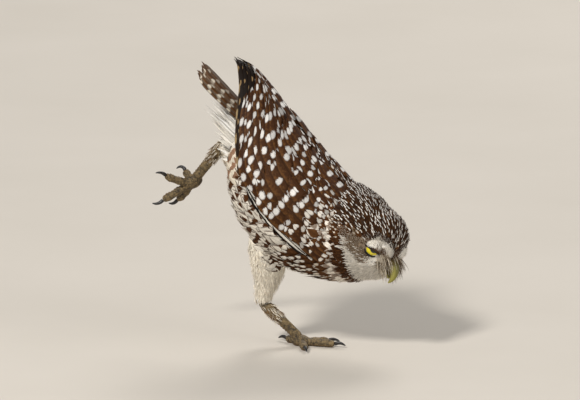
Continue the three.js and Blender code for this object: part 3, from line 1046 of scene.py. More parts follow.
@dataclass(frozen=True)
class Placed:
    """Places on the bird in each frame: world in metres, body and head in millimetres, and the part."""

    world: Array
    body: Array
    head: Array
    part: Array

    @classmethod
    def at(cls, points: Array, part: Array) -> Placed:
        """Works the frames out from places in the world."""
        return cls(points, BODY.local(points) / MM, HEAD.local(points) / MM, part)

    def picked(self, wanted: Array) -> Placed:
        """Only the places that are wanted."""
        return Placed(self.world[wanted], self.body[wanted], self.head[wanted], self.part[wanted])

    @property
    def from_face(self) -> Array:
        """Millimetres ahead of the dark collar band, negative behind it."""
        x, y, z = self.head.T
        return x + 10.8 - 0.187 * np.abs(y) + 0.757 * z

    @property
    def left(self) -> Array:
        """The places in the head's frame, with those on its right carried over to the left."""
        return np.stack([self.head[:, 0], np.abs(self.head[:, 1]), self.head[:, 2]], axis=1)

    def near(self, *line: Sequence[float]) -> Array:
        """Distance to a spot or a line on the head, the same on both sides.

        Args:
            line: The spot, or the points that the line joins, in the head's frame.

        Returns:
            The distances, in millimetres.
        """
        ends = np.array(line, float)
        best = np.linalg.norm(self.left - ends[0], axis=1)
        for start, end in zip(ends[:-1], ends[1:]):
            run = end - start
            share = np.clip((self.left - start) @ run / (run @ run), 0, 1)
            best = np.minimum(best, np.linalg.norm(self.left - start - share[:, None] * run, axis=1))
        return best


class Part(Enum):
    """The parts of the skin."""

    TRUNK = 0
    RIGHT_THIGH = 1
    LEFT_THIGH = 2


@dataclass(frozen=True)
class Eye:
    """Where the eyes sit in the head, in millimetres and degrees. What it gives is the left eye's."""

    ahead: float = 11.8
    aside: float = 14.4
    up: float = 1.5
    radius: float = 7.6
    outward: float = 35.0

    @property
    def centre(self) -> Array:
        """The middle of the eyeball."""
        return np.array([self.ahead, self.aside, self.up])

    @property
    def gaze(self) -> Array:
        """The way it looks."""
        turn = math.radians(self.outward)
        return np.array([math.cos(turn), math.sin(turn), 0.0])

    @property
    def fore(self) -> Array:
        """The way from it to the bill, across the gaze."""
        return np.array([self.gaze[1], -self.gaze[0], 0.0])

    @property
    def front(self) -> Array:
        """The foremost point of the eyeball."""
        return self.centre + self.radius * self.gaze


EYE = Eye()


@dataclass(frozen=True)
class Plumage:
    """The bird's colours, region by region."""

    flank: Markings = Markings("e6dfd2", "4a2a0f", bars=1, fringe=0.75, cover=0.4)
    back: Markings = Markings("341b08", "dcd9d4", wide=0.34, tall=0.14, centre=0.84, spots=1, cover=0.15)
    breast: Markings = Markings("44260c", "e6e1d8", wide=0.48, tall=0.16, centre=0.84, spots=1, cover=0.3)
    belly: Markings = Markings("e6dfd2", "a8825a", fringe=0.1, cover=0.1)
    rear: Markings = Markings("e8ddca", "7d4a20", bars=0.85, cover=0.3)
    vent: Markings = Markings("eee8dc", "d8c8aa", fringe=0.2, cover=0.1)
    neck: Markings = Markings("4c2c10", "dcd2c2", wide=0.45, tall=0.15, centre=0.8, spots=0.95, cover=0.3)
    crown: Markings = Markings("2f1907", "f2eee6", wide=0.29, streak=1, cover=0.02)
    patch: Markings = Markings("e8e0d4", "6a4522", bars=0.7, fringe=0.35, cover=0.3)
    band: Markings = Markings("371d09", "6a4017", fringe=0.5, cover=0.2)
    ruff: Markings = Markings("4f3013", "e2dbcf", fringe=1, cover=0.4)
    cheek: Markings = Markings("ece7de", "cdbfa8", fringe=0.3, cover=0.1)
    ear: Markings = Markings("5f472c", "d2c6b4", wide=0.5, fringe=0.3, streak=0.7, cover=0.3)
    lore: Markings = Markings("bdb09c", "5a4530", wide=0.4, streak=0.8, cover=0.3)
    thigh: Markings = Markings("fbf4e4", "d3985a", fringe=0.1, cover=0.05)

    def at(self, place: Placed, draws: Array) -> Array:
        """The markings at some places.

        Args:
            place: The places.
            draws: A number from 0 to 1 for each, which breaks the regions' edges up.

        Returns:
            A row of markings for each place.
        """
        body, head, face = place.body, place.head, place.from_face
        x, y, z = body.T
        rise = head[:, 2]
        on_head = soft(face, -19, -15)
        layers = [
            (self.flank, np.ones(len(x))),
            (self.rear, soft(x, -34, -44)),
            (self.breast, soft(x, 20, 28)),
            (self.belly, soft(np.abs(y), 20, 13) * soft(z, -30, -36) * soft(x, 30, 20)),
            (self.vent, soft(x, -56, -62) * soft(z, 14, 8)),
            (self.back, soft(z, 4, 12)),
            (self.neck, on_head),
            (self.ruff, on_head * soft(face, -9, -13) * soft(rise, 12, 6) * 0.85),
            (self.crown, soft(rise, 3, 9) * soft(face, -15, -8)),
            (self.patch, soft(face, -15, -11) * soft(face, -2.2, -3.2) * soft(rise, 5, -8)),
            (self.band, soft(np.abs(face), 3.6, 2.6) * soft(rise, -2, -5)),
            (self.cheek, soft(face, 2.6, 3.6) * soft(rise, 1, -2)),
            (self.ear, soft(place.near((8.5, 31, 0), (16, 22.5, -5)), 7.4, 6) * 0.8),
            (self.cheek, soft(place.near((20, 15, -7.5)), 5.4, 3.8) * 0.5),
            (self.cheek, soft(place.near((14.5, 25, 5), (17.5, 18, 8.4)), 4.4, 3.4)),
            (self.cheek, soft(place.near((17.5, 18, 7.4), (21.5, 10.5, 6.6), (24.5, 6, 4)), 3.6, 2.6)),
            (self.lore, soft(place.near((25.5, 7, -3.5)), 6.4, 5)),
            (self.thigh, (place.part != Part.TRUNK.value).astype(float)),
        ]
        rows = np.zeros((len(x), COVER + 1))
        for marks, mask in layers:
            rows[mask > draws] = marks.row()
        return rows


PLUMAGE = Plumage()


def lie(place: Placed) -> Array:
    """The way the feathers point, before they are laid into the skin.

    Args:
        place: Where they grow.

    Returns:
        Their directions: tailward, away from the bill and the eyes on the head, and down the thighs.
    """
    tailward = np.broadcast_to(BODY.aim([-1, 0, -0.12]), place.world.shape)
    from_bill = unit(HEAD.aim(place.head - np.array([27, 0, -4])))
    share = soft(place.from_face, -24, -8)[:, None]
    ways = unit(tailward * (1 - share) + from_bill * share)
    side = np.sign(place.head[:, 1])
    from_eye = place.head - EYE.front * np.stack([np.ones_like(side), side, np.ones_like(side)], axis=1)
    reach = soft(np.linalg.norm(from_eye, axis=1), 14, 7)[:, None] * 0.4
    ways = unit(ways * (1 - reach) + HEAD.aim(unit(from_eye)) * reach)
    for part, leg in LEGS.items():
        ways[place.part == part.value] = leg.run
    return ways


@dataclass(frozen=True)
class LegLine:
    """The hip and heel of a leg in the world, in metres."""

    hip: Array
    heel: Array

    @property
    def run(self) -> Array:
        """The way from the hip to the heel."""
        return unit(self.heel - self.hip)


LEGS = {
    Part.RIGHT_THIGH: LegLine(np.array([-22, -4, 104]) * MM, np.array([-31.6, 8.6, 30.5]) * MM),
    Part.LEFT_THIGH: LegLine(BODY.world(np.array([-38, 15, -17]) * MM), np.array([-60.8, 27, 151.2]) * MM),
}


# The skin


@dataclass(frozen=True)
class Chart:
    """An unwrap of the skin's own shape for baking: round the trunk's middle line, and round each thigh.

    Attributes:
        middle: Rows of a place along the body and the middle line's place across and up there, in
            millimetres.
        rear: The body's rear end.
        front: Its front end.
        thigh: Length of the map of a thigh, in metres.
    """

    middle: tuple[tuple[float, float, float], ...] = (
        (-75, 0, 12), (-40, 0, 0), (0, 0, -5), (35, 0, 3), (60, -4, 15), (88, -14, 20),
    )
    rear: float = -76
    front: float = 92
    thigh: float = 85 * MM

    def corners(self, place: Placed, quads: Array) -> Array:
        """The map at each corner of each face.

        Args:
            place: The points of the skin.
            quads: Its faces.

        Returns:
            The map, as (face, corner, 2).
        """
        off = place.body[:, 1:] - Profile(self.middle)(place.body[:, 0])
        turn = np.arctan2(off[:, 0], off[:, 1]) / (2 * np.pi) + 0.5
        share = np.clip((place.body[:, 0] - self.rear) / (self.front - self.rear), 0, 1)
        trunk = np.stack([turn, np.arcsin(2 * share - 1) / np.pi + 0.5], axis=1)
        chart = self._wrapped(trunk[quads]) * [0.94, 0.64] + [0.02, 0.02]
        part = place.part[quads[:, 0]]
        for (thigh, leg), left in zip(LEGS.items(), (0.02, 0.52)):
            wide = unit(np.cross(leg.run, [0.3, 0.9, 0.1]))
            off = place.world - leg.hip
            turn = np.arctan2(off @ np.cross(leg.run, wide), off @ wide) / (2 * np.pi) + 0.5
            down = np.clip(off @ leg.run / self.thigh + 0.15, 0, 1)
            limb = self._wrapped(np.stack([turn, down], axis=1)[quads]) * [0.42, 0.28] + [left, 0.7]
            chart = np.where((part == thigh.value)[:, None, None], limb, chart)
        return chart

    @staticmethod
    def _wrapped(corners: Array) -> Array:
        """Carries faces that cross the seam over it, so that none spans the whole map.

        Args:
            corners: The map before that, as (face, corner, 2).

        Returns:
            The map after it.
        """
        turn = corners[..., 0]
        spans = np.ptp(turn, axis=1, keepdims=True) > 0.5
        return np.stack([np.where(spans & (turn < 0.5), turn + 1, turn), corners[..., 1]], axis=-1)


def solid(node: str, swell: float, over: float = -1.0) -> bmesh.types.BMesh:
    """A copy of a solid, swollen a little.

    Args:
        node: The solid's node.
        swell: How far its points move out, in metres.
        over: Height above which they do, in metres.

    Returns:
        The closed body.
    """
    body = bmesh.new()
    body.from_mesh(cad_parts[node].data)
    bmesh.ops.remove_doubles(body, verts=body.verts, dist=1e-6)
    if node == "torso":
        shorten(body)
    body.normal_update()
    for vert in body.verts:
        if vert.co.z > over:
            vert.co += vert.normal * swell
    return body


def shorten(body: bmesh.types.BMesh, rear: float = -70 * MM) -> None:
    """Takes the long feathers off the rear of the trunk, so that it ends round.

    Args:
        body: The trunk.
        rear: Where it ends, along the body.
    """
    cut = BODY.world(np.array([rear, 0, 0]))
    whole = body.verts[:] + body.edges[:] + body.faces[:]
    bmesh.ops.bisect_plane(body, geom=whole, plane_co=cut, plane_no=BODY.aim([-1, 0, 0]), clear_outer=True)
    rim = [edge for edge in body.edges if edge.is_boundary]
    bmesh.ops.triangle_fill(body, edges=rim, use_beauty=True)
    bmesh.ops.recalc_face_normals(body, faces=body.faces)


def ended(name: str, body: bmesh.types.BMesh) -> bpy.types.Mesh:
    """Writes a body to a mesh and frees it.

    Args:
        name: The mesh's name.
        body: The body.

    Returns:
        The mesh.
    """
    mesh = bpy.data.meshes.new(name)
    body.to_mesh(mesh)
    body.free()
    return mesh


def remeshed(bodies: Sequence[bmesh.types.BMesh], voxel: float) -> tuple[Array, Array]:
    """The outer surface of some overlapping closed bodies as an even net.

    Args:
        bodies: The bodies, which are freed.
        voxel: Size of its faces, in metres.

    Returns:
        The points and four-sided faces of the largest closed surface.
    """
    joined = bmesh.new()
    for body in bodies:
        copy = ended("copy", body)
        joined.from_mesh(copy)
        bpy.data.meshes.remove(copy)
    rough = linked("rough", ended("rough", joined))
    remesh = rough.modifiers.new("Remesh", "REMESH")
    remesh.mode = "VOXEL"
    remesh.voxel_size = voxel
    evaluated = rough.evaluated_get(bpy.context.evaluated_depsgraph_get())
    mesh = evaluated.to_mesh()
    points = read(mesh.vertices, "co", 3)
    quads = read(mesh.loops, "vertex_index", 1, np.int32).reshape(-1, 4)
    evaluated.to_mesh_clear()
    bpy.data.objects.remove(rough)
    keep = largest(len(points), quads)
    number = np.cumsum(keep) - 1
    return points[keep], number[quads[keep[quads[:, 0]]]]


def largest(count: int, quads: Array) -> Array:
    """Finds the largest of a net's separate surfaces.

    Args:
        count: Number of points.
        quads: The faces.

    Returns:
        Whether each point belongs to it.
    """
    label = np.arange(count)
    before = None
    while not np.array_equal(before, label):
        before = label.copy()
        np.minimum.at(label, quads.ravel(), np.repeat(label[quads].min(axis=1), 4))
        label = label[label]
    return label == np.bincount(label).argmax()


@dataclass(frozen=True)
class Skin:
    """One closed skin through trunk, neck, head and thighs, inside the solids by the coat's depth.

    Attributes:
        nodes: The solids that it stands for.
        voxel: Size of its faces, in metres.
        overlap: How far the solids swell to meet each other, in metres.
        smoothing: Rounds of smoothing.
        trunk_depth: How far it lies inside the solids on the trunk, in millimetres.
        face_depth: The same on the face.
        thigh_depth: The same on the thighs.
        base: Place of the round filling behind the bill, in the head's frame, and its radius, in
            millimetres.
        opening: Angles off the gaze between which it is drawn in over the eyeballs, in degrees.
        near: How far outside the eyeballs it is, in millimetres.
        clear: How far it stays outside them then.
    """

    nodes: tuple[str, ...] = ("torso", "neck", "head", "thigh_right", "thigh_left")
    voxel: float = 1.1 * MM
    overlap: float = 0.3 * MM
    smoothing: int = 7
    trunk_depth: float = 2.3
    face_depth: float = 1.1
    thigh_depth: float = 1.5
    base: tuple[float, float, float, float] = (21.5, 0, -5, 6)
    opening: tuple[float, float] = (88, 58)
    near: float = 5.0
    clear: float = 0.1

    def build(self) -> tuple[bpy.types.Object, Array]:
        """Makes the skin from copies of the solids.

        Returns:
            The skin in its finish, and the part that each of its points belongs to.
        """
        bodies = [solid(node, self.overlap) for node in (*self.nodes, "eye_left", "eye_right")]
        bodies.append(self._base())
        points, quads = remeshed(bodies, self.voxel)
        edges = edges_of(quads)
        points = smoothed(points, edges, 0.6, self.smoothing)
        part = self._parts(points)
        points = points - smooth_normals(points, quads) * self._depth(Placed.at(points, part))[:, None]
        points = self._opened(smoothed(points, edges, 0.5, 2))
        place = Placed.at(points, part)
        marks = PLUMAGE.at(place, np.full(len(points), 0.5))
        values = {key: marks[:, MARKING_VALUES[key]] for key in ("ground", "marking", "cover")}
        piece = Net(points, quads, values, {}).build("skin")
        layer = piece.data.uv_layers.new(name="OFBake")
        layer.data.foreach_set("uv", Chart().corners(place, quads).astype(np.float32).ravel())
        return dress(piece, SkinFinish().material(), "plumage", *self.nodes), part

    def _base(self) -> bmesh.types.BMesh:
        """The round filling behind the bill.

        Returns:
            The closed body.
        """
        body = bmesh.new()
        middle = Matrix.Translation(HEAD.world(np.array(self.base[:3]) * MM))
        bmesh.ops.create_icosphere(body, subdivisions=2, radius=self.base[3] * MM, matrix=middle)
        return body

    def _depth(self, place: Placed) -> Array:
        """How far the skin lies inside the solids.

        Args:
            place: The points.

        Returns:
            The depths, in metres.
        """
        face = soft(place.from_face, -14, -4)
        depth = self.trunk_depth - (self.trunk_depth - self.face_depth) * face
        return np.where(place.part == Part.TRUNK.value, depth, self.thigh_depth) * MM

    def _opened(self, points: Array) -> Array:
        """Draws in what lies over the eyeballs, so that the lids lie on top.

        Args:
            points: The skin's points.

        Returns:
            The points after that.
        """
        head = HEAD.local(points) / MM
        for side in Side:
            centre = EYE.centre * side.flip
            ray = head - centre
            away = np.maximum(np.linalg.norm(ray, axis=1), 1e-6)
            angle = np.degrees(np.arccos(np.clip(ray @ (EYE.gaze * side.flip) / away, -1, 1)))
            share = soft(angle, *self.opening) * (away < EYE.radius + self.near)
            wanted = np.minimum(away, EYE.radius + self.clear)
            head = centre + ray * (wanted / away * share + 1 - share)[:, None]
        return HEAD.world(head * MM)

    @staticmethod
    def _parts(points: Array) -> Array:
        """Finds out which part of the skin each point belongs to.

        Args:
            points: The points.

        Returns:
            The numbers of the parts. A point well off both thighs is the trunk's.
        """
        away = []
        for node in ("torso", "thigh_right", "thigh_left"):
            tree = Surface.of(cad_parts[node]).tree
            away.append([tree.find_nearest(p)[3] for p in points.tolist()])
        trunk, *thighs = np.array(away)
        nearest = np.argmin([trunk - 1 * MM, *thighs], axis=0)
        return np.where(np.min(thighs, axis=0) > 2 * MM, Part.TRUNK.value, nearest)


# The coat on the skin


@dataclass(frozen=True)
class Coat:
    """One layer of small feathers or down that grows from the skin. Sizes are in millimetres.

    Attributes:
        name: The piece's name.
        slot: Its material slot.
        shape: The outline of a feather.
        spacing: The spacing at some places.
        keep: Whether the layer grows at some places.
        length: Length of a feather.
        width: Its width.
        stand: How high its tip rises over the skin.
        seed: Seed of the draws.
        root: Height of its root over the skin.
        unruly: How far the directions wander.
        steps: Steps in which it bends with the skin.
        bar_pitch: Distance between bars along the body.
        bar_column: Distance between the columns of bars round the body.
        streaked: Share of the feathers that show their streak.
        tints: The least and the most that a feather's colours are multiplied by.
        over_wings: Whether the layer drapes over the folded wings.
        rim: Bare rim round the lids' slit, in degrees.
        bend: The least cosine between the steps of a feather that is kept.
        held: The least cosine between such a feather and its way.
        round: Mean radius of the body, which turns angles round it into distances.
    """

    name: str
    slot: str
    shape: VaneShape
    spacing: Callable[[Placed], Array]
    keep: Callable[[Placed], Array]
    length: float
    width: float
    stand: float
    seed: int
    root: float = -0.6
    unruly: float = 0.12
    steps: int = 4
    bar_pitch: float = 8.6
    bar_column: float = 6.2
    streaked: float = 1.0
    tints: tuple[float, float] = (0.86, 1.12)
    over_wings: bool = False
    rim: float = 10.0
    bend: float = 0.8
    held: float = 0.82
    round: float = 40.0

    def build(self, skin: Surface, ground: Surface) -> bpy.types.Object:
        """Grows the layer.

        Args:
            skin: The skin.
            ground: The surface that the feathers are laid over.

        Returns:
            The feathers as one piece.
        """
        rng = np.random.default_rng(self.seed)
        place, _, chart = skin.spread(self._gaps, self.seed)
        gaps = self.spacing(place) / np.median(self.spacing(place))
        lengths = self.length * MM * gaps * rng.uniform(0.85, 1.15, len(gaps))
        ways = lie(place) + rng.normal(0, self.unruly, (len(gaps), 3))
        paths, normals = ground.walk(place.world, ways, lengths, self.steps)
        fits = self._fits(place, ways, paths, normals)
        place, paths, normals, chart = place.picked(fits), paths[fits], normals[fits], chart[fits]
        lengths, gaps = lengths[fits], gaps[fits]
        count = len(gaps)
        widths = self.width * MM * gaps * rng.uniform(0.85, 1.15, count)
        stands = self.stand * MM * rng.uniform(0.7, 1.3, count)
        along, side = self.shape.net(count, rng)
        points = self._points(paths, normals, along, side, widths, stands)
        net = feathers(points, along, side, self._marks(place, lengths, rng), chart, TUFT_PATCH)
        return dress(net.build(self.name), COAT_FINISH.material(), self.slot)

    def _gaps(self, place: Placed) -> Array:
        """The spacing in metres, and 0 where the layer doesn't grow."""
        return np.where(self.keep(place), self.spacing(place), 0) * MM

    def _fits(self, place: Placed, ways: Array, paths: Array, normals: Array) -> Array:
        """Which feathers lie well: clear of the eye, not bent far and not turned off their way.

        Args:
            place: Their roots.
            ways: Their directions.
            paths: Their lines on the ground.
            normals: The ground's normals on those lines.

        Returns:
            Whether each does.
        """
        runs = unit(np.diff(paths, axis=1))
        bends = (runs[:, 1:] * runs[:, :-1]).sum(axis=2).min(axis=1)
        held = (unit(paths[:, -1] - paths[:, 0]) * flat_to(normals[:, 0], ways)).sum(axis=1)
        clear = LIDS.clear_of(Placed.at(paths[:, -1], place.part), self.rim)
        return clear & (bends > self.bend) & (held > self.held)

    def _marks(self, place: Placed, lengths: Array, rng: np.random.Generator) -> Array:
        """The feathers' markings, with bars that run on from feather to feather.

        Args:
            place: Their roots.
            lengths: Their lengths, in metres.
            rng: The draws that vary them.

        Returns:
            A row for each.
        """
        count = len(lengths)
        marks = PLUMAGE.at(place, rng.random(count))
        barred = marks[:, BARS] > 0
        marks[barred, REPEATS] = lengths[barred] / (self.bar_pitch * MM)
        marks[barred, PHASE] = -place.body[barred, 0] / self.bar_pitch + rng.normal(0, 0.07, barred.sum())
        marks[:, STREAK] *= rng.random(count) < self.streaked
        column = np.arctan2(place.body[:, 1], place.body[:, 2]) * self.round / self.bar_column
        marks[:, BARS] *= np.abs(column % 1 - 0.5) + rng.normal(0, 0.06, count) < 0.3
        marks[:, COLOURS] *= rng.uniform(*self.tints, (count, 1))
        return marks

    def _points(
        self, paths: Array, normals: Array, along: Array, side: Array, widths: Array, stands: Array,
    ) -> Array:
        """Lays the feathers' nets over their lines.

        Args:
            paths: The lines.
            normals: The ground's normals on them.
            along: Share of the length at each point of a net.
            side: Its lines across.
            widths: The feathers' widths, in metres.
            stands: The heights of their tips, in metres.

        Returns:
            The points of the nets.
        """
        steps = paths.shape[1] - 1
        spot = np.clip(along * steps, 0, steps - 1e-6)
        k = spot.astype(int)
        t = (spot - k)[..., None]
        row = np.arange(len(paths))[:, None, None]
        centre = paths[row, k] * (1 - t) + paths[row, k + 1] * t
        up = unit(normals[row, k] * (1 - t) + normals[row, k + 1] * t)
        wide = unit(np.cross(up, unit(paths[row, k + 1] - paths[row, k])))
        off = side[None] * widths[:, None, None] / 2
        rise = self.root * MM + (stands[:, None, None] - self.root * MM) * along ** 0.85
        sag = self.shape.camber * np.abs(off) * (np.abs(side[None]) ** 0.5)
        return centre + wide * off[..., None] + up * (rise - sag)[..., None]


COAT_FINISH = FeatherFinish("body_feathers")
TUFT_PATCH = 0.003


@dataclass(frozen=True)
class Bristles:
    """Stiff hair-like feathers that stand off a surface. Sizes are in millimetres.

    Attributes:
        name: The piece's name.
        slot: Its material slot.
        spacing: Their spacing.
        keep: Whether they grow at some places.
        aim: The way they point at some places.
        length: Their length.
        width: Their width at the root.
        lift: How far they turn off the surface.
        droop: How far their tips hang, as a share of the length.
        marks: Their colours.
        seed: Seed of the draws.
        dark: Share of them in the marking's colour.
    """

    name: str
    slot: str
    spacing: float
    keep: Callable[[Placed], Array]
    aim: Callable[[Placed], Array]
    length: float
    width: float
    lift: float
    droop: float
    marks: Markings
    seed: int
    dark: float = 0.45

    def build(self, skin: Surface) -> bpy.types.Object:
        """Grows the bristles.

        Args:
            skin: The surface they stand on.

        Returns:
            The bristles as one piece.
        """
        rng = np.random.default_rng(self.seed)
        place, ups, chart = skin.spread(lambda spots: self.keep(spots) * self.spacing * MM, self.seed)
        count = len(ups)
        ways = unit(self.aim(place) + ups * self.lift + rng.normal(0, 0.16, (count, 3)))
        length = (self.length * rng.uniform(0.6, 1.2, count) * MM)[:, None, None, None]
        along, side = HAIR.net(count, rng)
        share = along[..., None]
        off = unit(np.cross(ways, rng.normal(0, 1, (count, 3))))[:, None, None] * side[None, ..., None]
        points = place.world[:, None, None] + ways[:, None, None] * share * length
        points = points + HEAD.aim([0, 0, -1]) * share ** 2 * length * self.droop + off * self.width * MM / 2
        points = points - ups[:, None, None] * (1 - share) ** 4 * 0.3 * MM
        marks = self.marks.rows(count)
        dark = rng.random(count) < self.dark
        marks[dark, GROUND] = marks[dark, MARKING]
        marks[:, COLOURS] *= rng.uniform(0.8, 1.15, (count, 1))
        net = feathers(points, along, side, marks, chart, TUFT_PATCH)
        return dress(net.build(self.name), COAT_FINISH.material(), self.slot)


# Wings, tail and the feathers under it


@dataclass(frozen=True)
class WingShell:
    """The outer form of the folded wings in the body's frame, in millimetres.

    Attributes:
        stations: Places along the back, each with the half width, the top and the depth there.
        lower_edge: Places along the back, each with the lower edge's distance round the curve.
        upper_edge: The same for the upper edge.
        round: The curve's mean radius.
        front: How far forward it covers the body's feathers, along a slanted line.
        slant: That line's way, along the back and up.
        rear: How far back it does.
        bare: How far inside the upper and the lower edge it does.
        rows: Number of points along and round its net.
    """

    stations: tuple[tuple[float, ...], ...] = (
        (-116, 8, 45, 30), (-103, 17.5, 49, 32), (-94, 22.5, 49.5, 34), (-80, 29, 48, 40),
        (-60, 37, 44.5, 42), (-40, 42, 41.5, 42), (-20, 44.5, 39, 42), (0, 44.5, 38, 42),
        (20, 43, 38, 42), (45, 38, 37, 42),
    )
    lower_edge: tuple[tuple[float, float], ...] = (
        (-114, 14), (-103, 29), (-94, 38), (-78, 53.5), (-61, 65), (-44, 75), (20, 79), (40, 78), (50, 77),
    )
    upper_edge: tuple[tuple[float, float], ...] = ((-62, -1.5), (-42, 3.5), (60, 5))
    round: float = 44.0
    front: float = 28.0
    slant: tuple[float, float] = (0.937, 0.35)
    rear: float = -52.0
    bare: tuple[float, float] = (5.0, 7.0)
    rows: tuple[int, int] = (59, 40)

    def point(self, along: Array, across: Array, height: Array) -> Array:
        """A place on the left wing's shell.

        Args:
            along: Place along the back.
            across: Distance over the curve from the middle of the back.
            height: Height over the shell.

        Returns:
            The places in the body's frame.
        """
        half, top, depth = np.moveaxis(Profile(self.stations)(along), -1, 0)
        angle = across / self.round
        out = unit(np.stack([np.zeros_like(angle), np.sin(angle) * depth, np.cos(angle) * half], axis=-1))
        spot = np.stack([along, half * np.sin(angle), top - depth * (1 - np.cos(angle))], axis=-1)
        return spot + out * height[..., None]

    def lower(self, along: Array) -> Array:
        """How far round the curve the wing's lower edge lies."""
        return Profile(self.lower_edge)(along)[..., 0]

    def upper(self, along: Array) -> Array:
        """How far round the curve the wing's upper edge lies."""
        return Profile(self.upper_edge)(along)[..., 0]

    def covers(self, body: Array) -> Array:
        """Finds places near the skin that lie well under a wing, so that no body feather shows there.

        Args:
            body: Places in the body's frame.

        Returns:
            Whether each is covered.
        """
        x, y, z = body.T
        half, top, depth = Profile(self.stations)(x).T
        across = np.arctan2(np.abs(y) / half, (z - top + depth) / depth) * self.round
        inside = (across > self.upper(x) + self.bare[0]) & (across < self.lower(x) - self.bare[1])
        return inside & (self.slant[0] * x + self.slant[1] * z < self.front) & (x > self.rear)

    def patch(self, side: Side) -> Net:
        """The shell of one wing, a little over the roots of its feathers.

        Args:
            side: The wing's side.

        Returns:
            A net in the world.
        """
        along = np.linspace(-70, 46, self.rows[0])[:, None]
        low, high = self.upper(along), self.lower(along) - 5
        across = low + (high - low) * np.linspace(0, 1, self.rows[1])
        along, height = np.broadcast_to(along, across.shape), np.full(across.shape, 0.3)
        points = BODY.world((self.point(along, across, height) * side.flip).reshape(-1, 3) * MM)
        quads = grid_quads(*self.rows)
        return Net(points, quads if side is Side.RIGHT else quads[:, ::-1], {}, {})


SHELL = WingShell()


@dataclass(frozen=True)
class WingRow:
    """A row of a wing's feathers, from the lower edge to the back. Sizes are in millimetres.

    Attributes:
        name: The row's name.
        count: Number of feathers.
        first: The lowest feather: how far inside the lower edge it lies, and its root and tip along
            the back.
        last: The same for the highest.
        width: Width of a feather.
        height: Height of root and tip over the shell.
        tilt: Height gained for each millimetre across.
        marks: The row's colours.
        shape: The outline of a feather.
        loose: How far the feathers wander.
        bare: Share of the feathers without spots.
    """

    name: str
    count: int
    first: tuple[float, float, float]
    last: tuple[float, float, float]
    width: float
    height: tuple[float, float]
    tilt: float
    marks: Markings
    shape: VaneShape = COVERT
    loose: float = 1.8
    bare: float = 0.1

    def points(self, rng: np.random.Generator) -> tuple[Array, Array, Array]:
        """Lays the row's feathers on the left wing.

        Args:
            rng: The draws that vary them.

        Returns:
            The points in the body's frame, in millimetres, the share of the length at each, and the
            lines across.
        """
        share = np.linspace(0, 1, self.count)[:, None]
        inside, root, tip = (np.array(self.first) * (1 - share) + np.array(self.last) * share).T
        tip = tip + rng.normal(0, self.loose, self.count)
        inside = inside + rng.normal(0, self.loose * 0.4, self.count)
        along, side = self.shape.net(self.count, rng)
        place = root[:, None, None] + (tip - root)[:, None, None] * along
        middle = SHELL.lower(place) - inside[:, None, None]
        middle = np.maximum(middle, SHELL.upper(place) + self.width * 0.45)
        off = side[None] * self.width / 2
        low, high = self.height
        height = low + (high - low) * np.minimum(1, 1.25 * along) + self.tilt * off
        height = height - self.shape.camber * off ** 2 / self.width + rng.normal(0, 0.08, (self.count, 1, 1))
        return SHELL.point(place, middle + off, height), along, side

    def marked(self, rng: np.random.Generator) -> Array:
        """The row's markings, feather by feather.

        Args:
            rng: The draws that vary them.

        Returns:
            A row for each feather.
        """
        marks = self.marks.rows(self.count)
        marks[:, COLOURS] *= rng.uniform(0.86, 1.12, (self.count, 1))
        marks[:, ASIDE] += rng.normal(0, 0.1, self.count)
        marks[:, PHASE] += rng.uniform(-1, 1, self.count) * 0.16 * (marks[:, REPEATS] - 0.7)
        marks[:, [WIDE, TALL]] *= rng.uniform(0.7, 1.2, (self.count, 2))
        marks[:, SPOTS] *= rng.random(self.count) >= self.bare
        marks[:, MARKING] *= rng.uniform(0.62, 1.05, (self.count, 1))
        return marks


PRIMARY = Markings(
    "211206", "c9ac7c", aside=1, repeats=7, centre=0.5, wide=0.3, tall=0.2, spots=0.9, fringe=0.1,
)
TIP = Markings("150b04", "a98a5e", aside=1, repeats=5, centre=0.4, wide=0.3, tall=0.16, spots=0.8)
SECONDARY = Markings("371d09", "dbd8d3", aside=0.55, repeats=7, centre=0.93, wide=0.46, tall=0.24, spots=1)
OUTER = Markings("3b2009", "dedbd6", aside=0.5, repeats=5, centre=0.9, wide=0.52, tall=0.26, spots=1)
GREAT = Markings("3f230a", "dedbd6", aside=0.5, repeats=3.6, centre=0.88, wide=0.5, tall=0.25, spots=1)
MIDDLE = Markings("3f230a", "dedbd6", aside=0.45, repeats=2.4, centre=0.86, wide=0.48, tall=0.21, spots=1)
LESSER = Markings("3b2009", "d6d0c6", aside=0.3, repeats=1.5, centre=0.86, wide=0.42, tall=0.17, spots=1)
SCAPULAR = Markings("3d210a", "dbd8d3", aside=0.48, repeats=4, centre=0.88, wide=0.46, tall=0.22, spots=1)
# Painted shadow: the lowest row along the wing's lower edge has a near-black ground that stands for the shade
# under the wing's edge, and a real white stripe.
LEADING_IN_SHADOW = Markings("0f0804", "f2ece0", aside=0.4, repeats=1, centre=0.62, wide=0.22, tall=0.5, spots=1)


